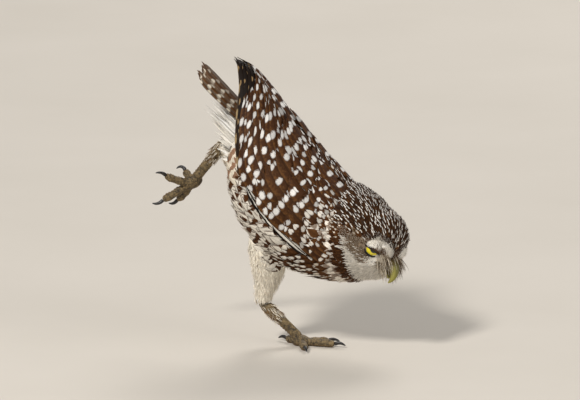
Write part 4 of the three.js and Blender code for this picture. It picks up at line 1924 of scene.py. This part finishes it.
@dataclass(frozen=True)
class Wing:
    """A folded wing, feather by feather.

    Attributes:
        side: The wing's side.
        thickness: Thickness of a feather, in millimetres.
        rows: Its rows of feathers, from the tip to the shoulder and the back.
    """

    side: Side
    thickness: float = 0.22
    rows: tuple[WingRow, ...] = (
        WingRow(
            "primaries", 9, (4, -24, -114), (33, -28, -99), 13, (-3.6, -2.4), 0.19, PRIMARY, FLIGHT, 0.9, 0,
        ),
        WingRow(
            "tip_feathers", 4, (7, -64, -114), (27, -60, -104), 15, (-2.6, -0.9), 0.1, TIP, FLIGHT, 0.9, 0,
        ),
        WingRow(
            "secondaries", 11, (9.5, -22, -88), (62, -16, -100), 13, (-2.7, -0.7), 0.11, SECONDARY,
            FLIGHT, 2.5, 0.05,
        ),
        WingRow("outer_coverts", 7, (7, -14, -60), (44, -14, -74), 14, (-2.5, -0.4), 0.11, OUTER),
        WingRow("greater_coverts", 9, (6, 6, -32), (58, 4, -44), 14, (-2.4, 0.0), 0.1, GREAT),
        WingRow("median_coverts", 9, (7, 16, -13), (58, 18, -22), 13, (-2.1, 0.3), 0.1, MIDDLE),
        WingRow("upper_lesser_coverts", 10, (8, 25, 2), (59, 28, -5), 12, (-1.8, 0.5), 0.1, MIDDLE),
        WingRow("lesser_coverts", 11, (8, 32, 12), (60, 36, 8), 9, (-1.5, 0.6), 0.1, LESSER),
        WingRow("marginal_coverts", 13, (7, 39, 20), (61, 43, 18), 8, (-1.2, 0.6), 0.1, LESSER),
        WingRow("shoulder_coverts", 13, (7, 46, 28), (61, 50, 27), 8, (-1.0, 0.6), 0.1, LESSER),
        # Painted shadow: this row's near-black ground is the dark line of shade under the wing's lower edge.
        WingRow(
            "leading_edge", 5, (0.6, 32, -4), (0.6, 2, -36), 8.5, (-2.2, -0.9), 0.2, LEADING_IN_SHADOW, COVERT, 0.6, 0,
        ),
        WingRow("long_scapulars", 6, (46, -2, -50), (69, 0, -56), 13, (-1.4, 0.7), 0.08, SCAPULAR),
        WingRow("scapulars", 6, (45, 14, -24), (69, 16, -34), 13, (-1.2, 0.9), 0.08, SCAPULAR),
        WingRow("short_scapulars", 6, (47, 30, -2), (69, 32, -12), 12, (-1.0, 1.0), 0.08, SCAPULAR),
    )

    def build(self, seed: int) -> bpy.types.Object:
        """Makes the wing's feathers as one piece.

        Args:
            seed: Seed of the draws.

        Returns:
            The piece.
        """
        rng = np.random.default_rng(seed)
        columns = math.ceil(math.sqrt(sum(row.count for row in self.rows)))
        nets = []
        made = 0
        for row in self.rows:
            points, along, side = row.points(rng)
            points = BODY.world(points * self.side.flip * MM)
            cell = np.arange(made, made + row.count)
            charts = np.stack([cell % columns + 0.5, cell // columns + 0.5], axis=1) / columns
            marks = row.marked(rng)
            nets.append(plates(points, along, side, marks, charts, 0.9 / columns, self.thickness * MM))
            made += row.count
        piece = Net.joined(nets).build(f"wing_feathers_{self.side.word}")
        return dress(piece, FLIGHT_FINISH.material(), "flight_feathers", f"wing_{self.side.word}")


def plates(
    points: Array, along: Array, side: Array, marks: Array, charts: Array, patch: float, thickness: float,
) -> Net:
    """Feathers with a face above and one below, a thickness apart and drawn together at the rim.

    Args:
        points: Places of the nets, as (feather, station, line, 3).
        along: Share of the length at each point.
        side: Lines across.
        marks: A row of markings for each feather.
        charts: Each feather's place on the baking map.
        patch: Side of its patch there.
        thickness: Distance between the faces at the shaft.

    Returns:
        The mesh.
    """
    normals = unit(np.cross(np.gradient(points, axis=1), np.gradient(points, axis=2)))
    line = np.linspace(-1, 1, points.shape[2])
    depth = thickness * (1 - line ** 2) ** 0.5 + 0.03 * MM
    above = feathers(points, along, side, marks, charts, patch)
    under = feathers(points - normals * depth[:, None], along, side, marks, charts, patch)
    under.quads = under.quads[:, ::-1]
    return Net.joined([above, under])


@dataclass(frozen=True)
class Tail:
    """The tail feathers in pairs, stacked like a roof with the middle pair on top. Millimetres.

    Attributes:
        root: Where they start along the body.
        tip: Where the longest ends.
        pairs: Number of pairs.
        width: Width of a feather.
        spread: Distance between neighbours across.
        layer: Height between neighbours.
        step: How much shorter each pair is, for the square of its number.
        rise: Height of roots and tips.
        arch: How far the tail curves down to its sides.
        marks: The feathers' colours.
    """

    root: float = -54
    tip: float = -131
    pairs: int = 6
    width: float = 11.5
    spread: float = 1.7
    layer: float = 0.85
    step: float = 0.25
    rise: tuple[float, float] = (20, 22)
    arch: float = 0.012
    marks: Markings = Markings(
        "4a2b0f", "e4dac6", aside=0.95, repeats=7, wide=0.55, tall=0.19, spots=0.85, fringe=0.2, streak=0.1,
    )

    def build(self, seed: int) -> bpy.types.Object:
        """Makes the tail as one piece.

        Args:
            seed: Seed of the draws.

        Returns:
            The piece.
        """
        rng = np.random.default_rng(seed)
        net = Net.joined([self._feather(number, rng) for number in range(2 * self.pairs)])
        return dress(net.build("tail_feathers"), FLIGHT_FINISH.material(), "flight_feathers", "tail")

    def _feather(self, number: int, rng: np.random.Generator) -> Net:
        """One feather of the tail.

        Args:
            number: Its number from the middle outwards, odd on the right.
            rng: The draws that vary it.

        Returns:
            Its mesh.
        """
        pair, side_sign = number // 2, 1 if number % 2 else -1
        layer = 1.0 if number == 0 else 1.6 * min(pair, 1) + max(pair - 1, 0)
        along, side = FLIGHT.net(1, rng)
        place = self.root + (self.tip - self.root + pair * pair * self.step + rng.uniform(0, 4)) * along
        middle = (self.spread * pair + 1.2) * side_sign * (0.4 + 0.75 * along) + rng.normal(0, 0.9) * along
        off = side[None] * self.width / 2
        across = middle + off
        line = self.rise[0] + (self.rise[1] - self.rise[0]) * along
        height = line - self.layer * layer - self.arch * (across ** 2 + off ** 2)
        points = BODY.world(np.stack([place, across, height], axis=-1) * MM)
        marks = self.marks.rows(1)
        marks[:, PHASE] += rng.normal(0, 0.1)
        marks[:, SPOTS:COVER] *= rng.uniform(0.2, 1.2, 4)
        marks[:, COLOURS] *= rng.uniform(0.8, 1.25)
        chart = np.array([[number % 4 + 0.5, number // 4 + 0.5]]) / 4
        return plates(points, along, side, marks, chart, 0.23, 0.25 * MM)


@dataclass(frozen=True)
class Vent:
    """The loose white plumes under the tail, in layers that grow from the rear of the trunk. Millimetres.

    Attributes:
        root: Where they start along the body.
        length: Length of the longest.
        aside: Half width of the top layer.
        layers: Number of layers.
        count: Plumes in a layer.
        width: Width of a plume.
        top: Height of the top layer.
        depth: Height between layers.
        shorter: How much shorter each layer is.
        marks: Their colours.
    """

    root: float = -54
    length: float = 50
    aside: float = 17
    layers: int = 12
    count: int = 33
    width: float = 8
    top: float = 13
    depth: float = 1.9
    shorter: float = 3.3
    marks: Markings = Markings("fbf8f2", "e2d2b4", fringe=0.15, streak=0.0)

    def build(self, seed: int) -> bpy.types.Object:
        """Makes the plumes as one piece.

        Args:
            seed: Seed of the draws.

        Returns:
            The piece.
        """
        rng = np.random.default_rng(seed)
        total = self.layers * self.count
        layer = np.repeat(np.arange(self.layers), self.count)
        aside = np.tile(np.linspace(-1, 1, self.count), self.layers) * (self.aside - layer)
        aside = aside + rng.normal(0, 0.8, total)
        length = (self.length - self.shorter * layer - np.abs(aside) * 0.5) * rng.uniform(0.75, 1.05, total)
        height = self.top - self.depth * layer - 0.03 * aside ** 2 + rng.normal(0, 0.6, total)
        drop = (1 + 0.7 * layer) * rng.uniform(0.6, 1.3, total)
        charts = np.stack([aside / 40 + 0.5, layer / 13 + 0.08], axis=1)
        aside, length, height, drop = (values[:, None, None] for values in (aside, length, height, drop))
        along, side = PLUME.net(total, rng)
        off = side[None] * self.width / 2 * rng.uniform(0.7, 1.2, total)[:, None, None]
        wave = np.sin(along * 3 + rng.uniform(0, 6, total)[:, None, None]) * 0.8
        roll = rng.uniform(-0.8, 0.8, total)[:, None, None] * (0.4 + 0.6 * along)
        points = np.stack([
            self.root - length * along,
            (aside + wave) * (1 + 0.1 * along) + off * np.cos(roll),
            height - drop * along ** 1.3 - 0.12 * np.abs(off) + off * np.sin(roll),
        ], axis=-1)
        marks = self.marks.rows(total)
        marks[:, COLOURS] *= rng.uniform(0.88, 1.05, (total, 1))
        net = feathers(BODY.world(points * MM), along, side, marks, charts, 0.01)
        return dress(net.build("vent_plumes"), COAT_FINISH.material(), "plumage")


FLIGHT_FINISH = FeatherFinish("flight_feathers", roughness=0.6, barbs=60, relief=0.3, ragged=0.4, tip=0.3)


# Head details


@dataclass(frozen=True)
class Eyeball:
    """An eyeball with its pupil, iris and clear bulge, looking a little up out of the lids.

    Attributes:
        side: The eye's side.
        iris_angle: Half the angle that the iris spans, in degrees.
        lift: How far it looks up, in degrees.
        bulge: Height of the clear bulge, in millimetres.
        rings: Number of rings of points.
        sides: Points in a ring.
    """

    side: Side
    iris_angle: float = 66.0
    lift: float = 10.0
    bulge: float = 0.35
    rings: int = 48
    sides: int = 72

    def build(self) -> bpy.types.Object:
        """Makes the eyeball as one piece.

        Returns:
            The piece.
        """
        lift = math.radians(self.lift)
        gaze = (EYE.gaze * math.cos(lift) + [0, 0, math.sin(lift)]) * self.side.flip
        wide = -self.side.value * EYE.fore * self.side.flip
        high = np.cross(gaze, wide)
        angle = np.pi * np.linspace(0, 1, self.rings) ** 1.3
        around = 2 * np.pi * np.arange(self.sides) / self.sides
        reach = np.degrees(angle) / self.iris_angle
        radius = EYE.radius - 0.1 + self.bulge * np.clip(1 - reach ** 2, 0, 1)
        spin = wide * np.cos(around)[:, None] + high * np.sin(around)[:, None]
        shell = gaze * np.cos(angle)[:, None, None] + spin * np.sin(angle)[:, None, None]
        points = EYE.centre * self.side.flip + shell * radius[:, None, None]
        values = {
            "reach": np.repeat(reach, self.sides),
            "turn": np.tile(np.abs(2 * np.arange(self.sides) / self.sides - 1), self.rings),
        }
        flat = shell.reshape(-1, 3) @ np.stack([wide, high], axis=1)
        maps = {"OFBake": 0.5 + 0.47 * (np.repeat(angle, self.sides) / np.pi)[:, None] * unit(flat)}
        points = HEAD.world(points.reshape(-1, 3) * MM)
        net = Net(points, grid_quads(self.rings, self.sides, True), values, maps)
        word = self.side.word
        return dress(net.build(f"eyeball_{word}"), EyeFinish().material(), "eye", f"eye_{word}")


@dataclass(frozen=True)
class Lids:
    """The lids of an eye: a shell over the eyeball with a slit, black at its rim and feathered outwards.

    Angles are degrees over the eyeball from the middle of its front, forwards and up.

    Attributes:
        half_length: Half the slit's length.
        corner: Height of its corners.
        upper: Height of its upper edge.
        lower: Height of its lower edge.
        roll: How far it is turned down in front.
        reach: Where the shell ends.
        rings: Number of rings of points.
        sides: Points in a ring.
        stations: Shares of the way out from the rim.
        heights: The shell's height over the eyeball there, in millimetres.
    """

    half_length: float = 58.0
    corner: float = -19.0
    upper: float = -7.0
    lower: float = -36.0
    roll: float = 8.0
    reach: float = 88.0
    rings: int = 18
    sides: int = 72
    stations: tuple[float, ...] = (0, 0.05, 0.12, 0.3, 0.88, 1)
    heights: tuple[float, ...] = (0.05, 0.8, 0.95, 0.85, 0.6, -1.0)

    @property
    def axes(self) -> Array:
        """The ways forward along the slit and up across it, at the left eye.

        Returns:
            Both in the head's frame.
        """
        tilt = math.radians(self.roll)
        up = np.array([0, 0, 1])
        return np.array([
            EYE.fore * math.cos(tilt) - up * math.sin(tilt), EYE.fore * math.sin(tilt) + up * math.cos(tilt),
        ])

    def clear_of(self, place: Placed, rim: float) -> Array:
        """Finds places clear of the slit and its rim, the same on both sides.

        Args:
            place: The places.
            rim: Width of the rim, in degrees over the eyeball.

        Returns:
            Whether each is clear.
        """
        ray = place.left - EYE.centre
        out = ray @ EYE.gaze
        across, rise = self.axes @ ray.T
        middle, half = (self.upper + self.lower) / 2, (self.upper - self.lower) / 2
        along = np.degrees(np.arctan2(across, out)) / (self.half_length + rim * 0.3)
        up = (np.degrees(np.arctan2(rise, out)) - middle) / (half + rim)
        return (along ** 2 + up ** 2 > 1) | (out < 0) | (np.linalg.norm(ray, axis=1) > EYE.radius + 6)

    def build(self, side: Side) -> bpy.types.Object:
        """Makes the lids of one eye as one piece.

        Args:
            side: The eye's side.

        Returns:
            The piece.
        """
        around = 2 * np.pi * np.arange(self.sides) / self.sides
        ring = np.stack([np.cos(around), np.sin(around)], axis=1)
        lift = np.where(ring[:, 1] > 0, self.upper - self.corner, self.corner - self.lower)
        height = self.corner + lift * ring[:, 1] * np.abs(ring[:, 1]) ** 0.15
        slit = np.stack([self.half_length * ring[:, 0], height], axis=1)
        share = np.linspace(0, 1, self.rings)[:, None, None]
        spots = np.radians(slit + (self.reach * ring + [0, -8] - slit) * share ** 1.2)
        length = np.linalg.norm(spots, axis=-1, keepdims=True)
        shell = EYE.gaze * np.cos(length) + unit(spots) @ self.axes * np.sin(length)
        radius = EYE.radius + np.interp(share, self.stations, self.heights)
        points = HEAD.world(((EYE.centre + shell * radius) * side.flip).reshape(-1, 3) * MM)
        values = {"rim": np.repeat(share.ravel(), self.sides)}
        maps = {"OFBake": (0.5 + 0.47 * (0.2 + 0.8 * share) * ring).reshape(-1, 2)}
        piece = Net(points, grid_quads(self.rings, self.sides, True), values, maps).build(f"lids_{side.word}")
        return dress(piece, LidFinish().material(), "plumage")


LIDS = Lids()


@dataclass(frozen=True)
class LidFinish:
    """Lids with a black naked rim, then pale short down."""

    name: str = "lids"
    rim: str = "0a0806"
    tone: str = "c4bbab"
    light: str = "ece6da"

    def material(self) -> bpy.types.Material:
        """Builds the material from each point's share of the way out from the rim.

        Returns:
            The material.
        """
        graph = Graph(self.name)
        share = (graph.number("rim") + graph.noise(900) * 0.08 - 0.04).step(0.26, 0.33)
        down = graph.mix(graph.noise(1600, 2).step(0.4, 0.7), linear(self.tone), linear(self.light))
        return graph.finish({
            "Base Color": graph.mix(share, linear(self.rim), down),
            "Roughness": 0.35 + share * 0.5,
            "Normal": graph.bump(graph.noise(1500, 2), 0.4, 0.0002),
        })


@dataclass(frozen=True)
class Bill:
    """The two halves of the bill, in the head's frame and in millimetres.

    Attributes:
        upper: The upper half's rings: ahead, up, half width and half height.
        lower: The lower half's.
        ridges: Share of the width that each half keeps on its upper side.
        nostril: Place of the left nostril.
    """

    upper: tuple[tuple[float, ...], ...] = (
        (20, -3, 3.8, 4.4), (23.5, -3, 4.2, 5.0), (27, -3.4, 4.1, 5.0), (30.4, -4.6, 3.7, 4.4),
        (32.6, -7.2, 3.0, 3.4), (33.6, -10, 2.2, 2.4), (33.6, -12.8, 1.4, 1.4), (32.9, -15.4, 0.5, 0.5),
    )
    lower: tuple[tuple[float, ...], ...] = (
        (20, -9.6, 3.9, 2.6), (25.5, -10, 4, 2.4), (28.8, -10.9, 3.1, 1.8), (30.8, -12.6, 1.6, 0.9),
    )
    ridges: tuple[float, float] = (0.82, 1.0)
    nostril: tuple[float, float, float] = (28.4, 4.2, -1.9)

    def build(self) -> list[bpy.types.Object]:
        """Makes both halves.

        Returns:
            The pieces, the upper half first.
        """
        material = HornFinish("bill_horn", "4f4a1f", "8f8836", "b3ab58", 0.45, 0.1).material()
        pieces = []
        for name, rows, ridge in zip(("upper", "lower"), (self.upper, self.lower), self.ridges):
            pieces.append(dress(self._half(name, rows, ridge), material, "bill", f"bill_{name}"))
        return pieces

    def _half(self, name: str, rows: Sequence[Sequence[float]], ridge: float) -> bpy.types.Object:
        """One half of the bill, its upper side narrowed to a ridge.

        Args:
            name: Which half.
            rows: Its rings.
            ridge: Share of the width that its upper side keeps.

        Returns:
            The piece.
        """
        place = np.linspace(0, len(rows) - 1, 8 * len(rows))
        smooth = Profile([(i, *row) for i, row in enumerate(rows)])(place)
        centres = np.stack([smooth[:, 0], np.zeros(len(smooth)), smooth[:, 1]], axis=1)
        net = tube(centres, np.array([0, 1, 0]), smooth[:, 2:], 40)
        top = np.clip(np.sin(2 * np.pi * net.values["around"]), 0, 1)
        net.points[:, 1] *= 1 - (1 - ridge) * top ** 2
        for side in Side:
            near = np.linalg.norm(net.points - self.nostril * side.flip, axis=1)
            net.points[:, 1] -= side.value * 0.7 * soft(near, 1.3, 0.4)
        net.points = HEAD.world(net.points * MM)
        return net.build(f"bill_horn_{name}")


# Legs


@dataclass(frozen=True)
class Foot:
    """The bare shank and toes of one leg, from a fine copy of the solids, with scutes and pads.

    Attributes:
        side: The foot's side.
        palm: Middle of its palm, in millimetres.
        sole: The way that its sole faces.
        voxel: Size of its faces, in metres.
        pitch: Distance between scutes, in metres.
        swell: How far the skin lies outside the solids, in metres.
        smoothing: Rounds of smoothing.
        scutes: Height of the scutes, in metres.
        knobs: Height of the knobs and the distance between them, in metres.
        folds: Height of the pads' folds and the distance between them, in metres.
        span: Half the width of the baking map, in metres.
    """

    side: Side
    palm: tuple[float, float, float]
    sole: tuple[float, float, float]
    voxel: float = 0.55 * MM
    pitch: float = 1.9 * MM
    swell: float = 0.45 * MM
    smoothing: int = 7
    scutes: float = 0.09 * MM
    knobs: tuple[float, float] = (0.2 * MM, 2.1 * MM)
    folds: tuple[float, float] = (0.22 * MM, 2.4 * MM)
    span: float = 60 * MM

    def build(self) -> list[bpy.types.Object]:
        """Makes the foot with its shank, and the claws.

        Returns:
            The pieces, the foot first.
        """
        nodes = (f"shank_{self.side.word}", f"foot_{self.side.word}")
        points, quads = remeshed([solid(node, self.swell, 0.3 * MM) for node in nodes], self.voxel)
        points = smoothed(points, edges_of(quads), 0.5, self.smoothing)
        normals = smooth_normals(points, quads)
        sole = unit(np.array(self.sole, float))
        away = np.linalg.norm(points - np.array(self.palm) * MM, axis=1)
        down = normals @ sole
        pad = soft(down, 0.15, 0.6) * soft(away, 34 * MM, 26 * MM)
        plated = soft(down, 0.2, -0.3) * soft(away, 6 * MM, 10 * MM)
        scute = away / self.pitch
        relief = soft(np.abs(scute % 1 - 0.5), 0.5, 0.3) * plated * self.scutes
        height, apart = self.knobs
        relief = relief + np.prod(np.sin(points / apart * 2 * np.pi + [0, 1, 2]), axis=1) * height
        height, apart = self.folds
        relief = relief + np.sin(away / apart * 2 * np.pi) * pad * height
        points = points + normals * relief[:, None]
        points[:, 2] = np.maximum(points[:, 2], 0)
        maps = {"OFBake": self._chart(points, down, sole)}
        net = Net(points, quads, {"scute": scute, "plated": plated, "pad": pad}, maps)
        piece = dress(net.build(f"scaly_{nodes[1]}"), ScaleFinish().material(), "scaly_skin", *nodes)
        return [piece, *(self._claw(number) for number in range(1, 5))]

    def _chart(self, points: Array, down: Array, sole: Array) -> Array:
        """The foot's map for baking, flat on the sole and again on the other side.

        Args:
            points: Its points.
            down: How far each faces with the sole.
            sole: The way that the sole faces.

        Returns:
            The map.
        """
        along = unit(np.cross(sole, [0.3, 0.5, 0.8]))
        off = (points - np.array(self.palm) * MM) / self.span
        layer = np.where(down > 0, 0.25, 0.75) + 0.24 * np.clip(off @ np.cross(sole, along) * 1.6, -1, 1)
        return np.clip(np.stack([0.5 + 0.9 * off @ along, layer], axis=1), 0, 1)

    def _claw(self, number: int) -> bpy.types.Object:
        """A claw from a smooth copy of its solid.

        Args:
            number: The claw's number.

        Returns:
            The piece.
        """
        node = f"claw_{self.side.word}_{number}"
        name = f"horn_{node}"
        piece = linked(name, ended(name, solid(node, 0.3 * MM)))
        piece.modifiers.new("Subdivision", "SUBSURF").levels = 2
        evaluated = piece.evaluated_get(bpy.context.evaluated_depsgraph_get())
        fine = bpy.data.meshes.new_from_object(evaluated)
        piece.modifiers.clear()
        piece.data = fine
        fine.polygons.foreach_set("use_smooth", np.ones(len(fine.polygons), bool))
        away = np.linalg.norm(read(fine.vertices, "co", 3) - np.array(self.palm) * MM, axis=1)
        for key, value in (("along", (away - away.min()) / np.ptp(away)), ("around", np.zeros(len(away)))):
            layer = fine.attributes.new(key, "FLOAT", "POINT")
            layer.data.foreach_set("value", value.astype(np.float32))
        fine.materials.clear()
        finish = HornFinish("claw_horn", "1d1612", "070606", "2a211a", 0.34, 0.15)
        return dress(piece, finish.material(), "claw", node)


# Light, floor and camera


@dataclass(frozen=True)
class Stage:
    """A plain pale floor, soft studio light and the camera at the photo's viewing angle.

    Attributes:
        pixel: Size of a pixel of the view at the bird, in metres.
        image: The view's size, in pixels.
        foot_pixel: The pixel of the origin.
        elevation: The camera's angle over the floor, in degrees.
        distance: Its distance from the bird, in metres.
        width: Width of its sensor, in millimetres.
        floor: Half the width of the floor, in metres.
        lamps: Each light's name, place, size and power.
    """

    pixel: float = 0.76 * MM
    image: tuple[int, int] = (580, 400)
    foot_pixel: tuple[float, float] = (304, 345)
    elevation: float = 12.0
    distance: float = 6.0
    width: float = 36.0
    floor: float = 6.0
    lamps: tuple[tuple[str, tuple[float, float, float], float, float], ...] = (
        ("key", (-1.5, -2.2, 2.6), 0.6, 108),
        ("fill", (2.6, -1.6, 1.2), 2.0, 30),
        ("rim", (0.6, 2.4, 2.2), 1.2, 45),
    )

    def build(self) -> None:
        """Makes the floor, the lights and the camera."""
        corners = np.array([[-1, -1, 0], [1, -1, 0], [1, 1, 0], [-1, 1, 0]]) * self.floor
        floor = Net(corners, np.array([[0, 1, 2, 3]]), {}, {}).build("floor")
        floor.data.materials.append(PlainFinish("pale_floor", "cfc8be", "c6bfb4", 0.85, 6.0).material())
        self._camera()
        for lamp in self.lamps:
            self._light(*lamp)
        world = bpy.data.worlds.new("studio")
        world.use_nodes = True
        background = world.node_tree.nodes["Background"]
        background.inputs["Color"].default_value = (0.92, 0.94, 0.97, 1)
        background.inputs["Strength"].default_value = 0.28
        bpy.context.scene.world = world
        bpy.context.scene.view_settings.view_transform = "Standard"

    def _camera(self) -> None:
        """The camera, looking a little down along +Y."""
        tilt = math.radians(self.elevation)
        up = np.array([0, math.sin(tilt), math.cos(tilt)])
        back = np.array([0, -math.cos(tilt), math.sin(tilt)])
        right = (self.image[0] / 2 - self.foot_pixel[0]) * self.pixel
        above = (self.foot_pixel[1] - self.image[1] / 2) * self.pixel
        data = bpy.data.cameras.new("camera")
        data.sensor_width = self.width
        data.lens = self.width * self.distance / (self.image[0] * self.pixel)
        data.clip_end = 50
        camera = linked("camera", data)
        camera.location = np.array([right, 0, 0]) + up * above + back * self.distance
        camera.rotation_euler = (math.radians(90 - self.elevation), 0, 0)
        bpy.context.scene.camera = camera

    @staticmethod
    def _light(name: str, place: tuple[float, float, float], size: float, power: float) -> None:
        """A soft square light aimed at the bird.

        Args:
            name: Its name.
            place: Where it hangs, in metres.
            size: Its width, in metres.
            power: Its power, in watts.
        """
        data = bpy.data.lights.new(name, "AREA")
        data.size = size
        data.energy = power
        data.color = (1.0, 0.975, 0.94)
        lamp = linked(name, data)
        lamp.location = place
        lamp.rotation_euler = (Vector((0, 0, 0.1)) - Vector(place)).to_track_quat("-Z", "Y").to_euler()


def off_eye_and_bill(place: Placed) -> Array:
    """Whether places are clear of the lids and of the bill."""
    bill = (place.head[:, 0] > 23) & (place.near((25, 0, -4), (32, 0, -8)) < 5)
    return LIDS.clear_of(place, 9) & ~bill


def over_wings(skin: Surface) -> Surface:
    """Lays the folded wings over the skin, for the feathers that drape over both.

    Args:
        skin: The skin.

    Returns:
        One surface through both.
    """
    place = Placed.at(skin.points[skin.triangles].mean(axis=1), skin.part[skin.triangles[:, 0]])
    points, triangles, normals = [skin.points], [skin.triangles[~SHELL.covers(place.body)]], [skin.normals]
    start = len(skin.points)
    for side in (Side.RIGHT, Side.LEFT):
        net = SHELL.patch(side)
        points.append(net.points)
        triangles.append(np.vstack([net.quads[:, [0, 1, 2]], net.quads[:, [0, 2, 3]]]) + start)
        normals.append(smooth_normals(net.points, net.quads))
        start += len(net.points)
    return Surface(np.vstack(points), np.vstack(triangles), np.vstack(normals))


def on_trunk(place: Placed) -> Array:
    """Whether places are on the trunk, neck or head."""
    return place.part == Part.TRUNK.value


def on_face(place: Placed) -> Array:
    """Finds places on the face: cheeks, brows, round the eyes and bill.

    Args:
        place: The places.

    Returns:
        Whether each is there.
    """
    low = (place.head[:, 2] < 4.5) & (place.from_face > 2.8)
    brow = place.near((14.5, 25, 5), (17.5, 18, 8.4), (21.5, 10.5, 7.6), (24.5, 6, 5)) < 4.6
    return (low | brow | (place.near((25.5, 6, -3.5)) < 6)) & on_trunk(place)


def even(spacing: float) -> Callable[[Placed], Array]:
    """The same spacing everywhere."""
    return lambda place: np.full(len(place.world), spacing)


def coats() -> list[Coat]:
    """The layers of the coat, from the face to the legs.

    Returns:
        The layers.
    """
    def hood(place: Placed) -> Array:
        """The head and neck behind the face."""
        ahead = on_trunk(place) & (place.from_face > -16) & ~SHELL.covers(place.body)
        return ahead & ~on_face(place) & off_eye_and_bill(place)

    def mantle(place: Placed) -> Array:
        """The back and shoulders behind the hood, where the feathers lie over the wings."""
        return (place.from_face > -34) & (place.body[:, 2] > -14) & (place.body[:, 0] > -8)

    def body(place: Placed) -> Array:
        """The trunk where no wing covers it."""
        return on_trunk(place) & (place.from_face <= -15) & ~SHELL.covers(place.body)

    def fan(place: Placed) -> Array:
        """Spacing that grows from the crown to the neck."""
        return 1.8 + 1.5 * soft(place.from_face, 0, -15)

    return [
        Coat(
            "face_down", "plumage", TUFT, even(0.72), lambda p: on_face(p) & off_eye_and_bill(p),
            4.0, 0.72, 1.2, 3, unruly=0.2, steps=3, tints=(0.72, 1.18),
        ),
        Coat(
            "hood_feathers", "plumage", SMALL, fan, hood, 7.6, 3.8, 1.5, 5,
            streaked=0.8, over_wings=True, tints=(0.75, 1.3),
        ),
        Coat(
            "mantle_feathers", "plumage", CONTOUR, even(3.4), lambda p: body(p) & mantle(p), 13.5, 8, 2.2, 6,
            over_wings=True,
        ),
        Coat(
            "body_feathers", "plumage", CONTOUR, even(3.7), lambda p: body(p) & ~mantle(p), 14.5, 8.6, 2.5, 7,
        ),
        Coat("thigh_down", "leg_down", TUFT, even(0.85), lambda p: ~on_trunk(p), 10, 0.8, 2.3, 9, unruly=0.3),
    ]


def lid_down(side: Side) -> Coat:
    """The short down on the lids of one eye, outside the naked rim.

    Args:
        side: The eye's side.

    Returns:
        The layer.
    """
    seed = 61 if side is Side.LEFT else 67
    return Coat(
        f"lid_down_{side.word}", "plumage", TUFT, even(0.4), lambda place: LIDS.clear_of(place, 12),
        2.6, 0.42, 0.6, seed, root=-0.2, steps=2, rim=9,
    )


def shank_down(foot: Foot, leg: LegLine) -> Bristles:
    """The short whitish bristles that run from the heel down the shank's upper part.

    Args:
        foot: The foot.
        leg: Its leg.

    Returns:
        The bristles.
    """
    run = unit(np.array(foot.palm) * MM - leg.heel)

    def keep(place: Placed) -> Array:
        """Within the upper part of the shank."""
        return (place.world - leg.heel) @ run < 17 * MM

    def aim(place: Placed) -> Array:
        """Down the shank."""
        return np.broadcast_to(run, place.world.shape)

    name = f"shank_down_{foot.side.word}"
    seed = 71 if foot.side is Side.RIGHT else 73
    marks = Markings("e9e0cf", "7a6144")
    return Bristles(name, "leg_down", 0.75, keep, aim, 4.6, 0.5, 0.12, 0.0, marks, seed)


def from_eye_to_bill(place: Placed) -> Array:
    """The way the bristles round the bill point: ahead, a little down and outwards."""
    side = np.sign(place.head[:, 1:2])
    return HEAD.aim(np.hstack([np.full_like(side, 0.95), side * 0.12, np.full_like(side, -0.3)]))


def bill_bristles() -> Bristles:
    """The bristles that ring the bill's base and hide it.

    Returns:
        The bristles.
    """
    def keep(place: Placed) -> Array:
        """Between the eye and the bill."""
        near = place.near((22.5, 9.5, -2.5), (25.5, 5, -3.5), (26.5, 0, 0.5)) < 4.6
        return (near | (place.near((25, 4, -9)) < 3)) & on_trunk(place) & LIDS.clear_of(place, 6)

    marks = Markings("d9cdb8", "4a3521")
    return Bristles("bill_bristles", "plumage", 0.6, keep, from_eye_to_bill, 9.2, 0.42, 0.3, 0.3, marks, 51)


def report(*pieces: bpy.types.Object) -> None:
    """Logs the size of finished pieces."""
    for piece in pieces:
        LOG.info("%s: %d faces", piece.name, len(piece.data.polygons))


def main() -> None:
    """Builds the bird piece by piece and sets the stage."""
    logging.basicConfig(level=logging.INFO, format="%(name)s: %(message)s")
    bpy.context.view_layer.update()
    skin, part = Skin().build()
    report(skin)
    surface = Surface.of(skin, part)
    folded = over_wings(surface)
    for coat in coats():
        report(coat.build(surface, folded if coat.over_wings else surface))
    report(bill_bristles().build(surface))
    report(Wing(Side.RIGHT).build(31))
    report(Wing(Side.LEFT).build(37))
    report(Tail().build(41))
    report(Vent().build(43))
    for side in Side:
        eyeball, lids = Eyeball(side).build(), LIDS.build(side)
        shell = Surface.of(lids)
        report(eyeball, lids, lid_down(side).build(shell, shell))
    report(*Bill().build())
    for foot, thigh in (
        (Foot(Side.RIGHT, (-2, 0, 2), (0, 0, -1)), Part.RIGHT_THIGH),
        (Foot(Side.LEFT, (-84.6, 39, 118.4), (-0.424, 0.574, 0.7)), Part.LEFT_THIGH),
    ):
        pieces = foot.build()
        report(*pieces, shank_down(foot, LEGS[thigh]).build(Surface.of(pieces[0])))
    Stage().build()


if __name__ == "__main__":
    main()
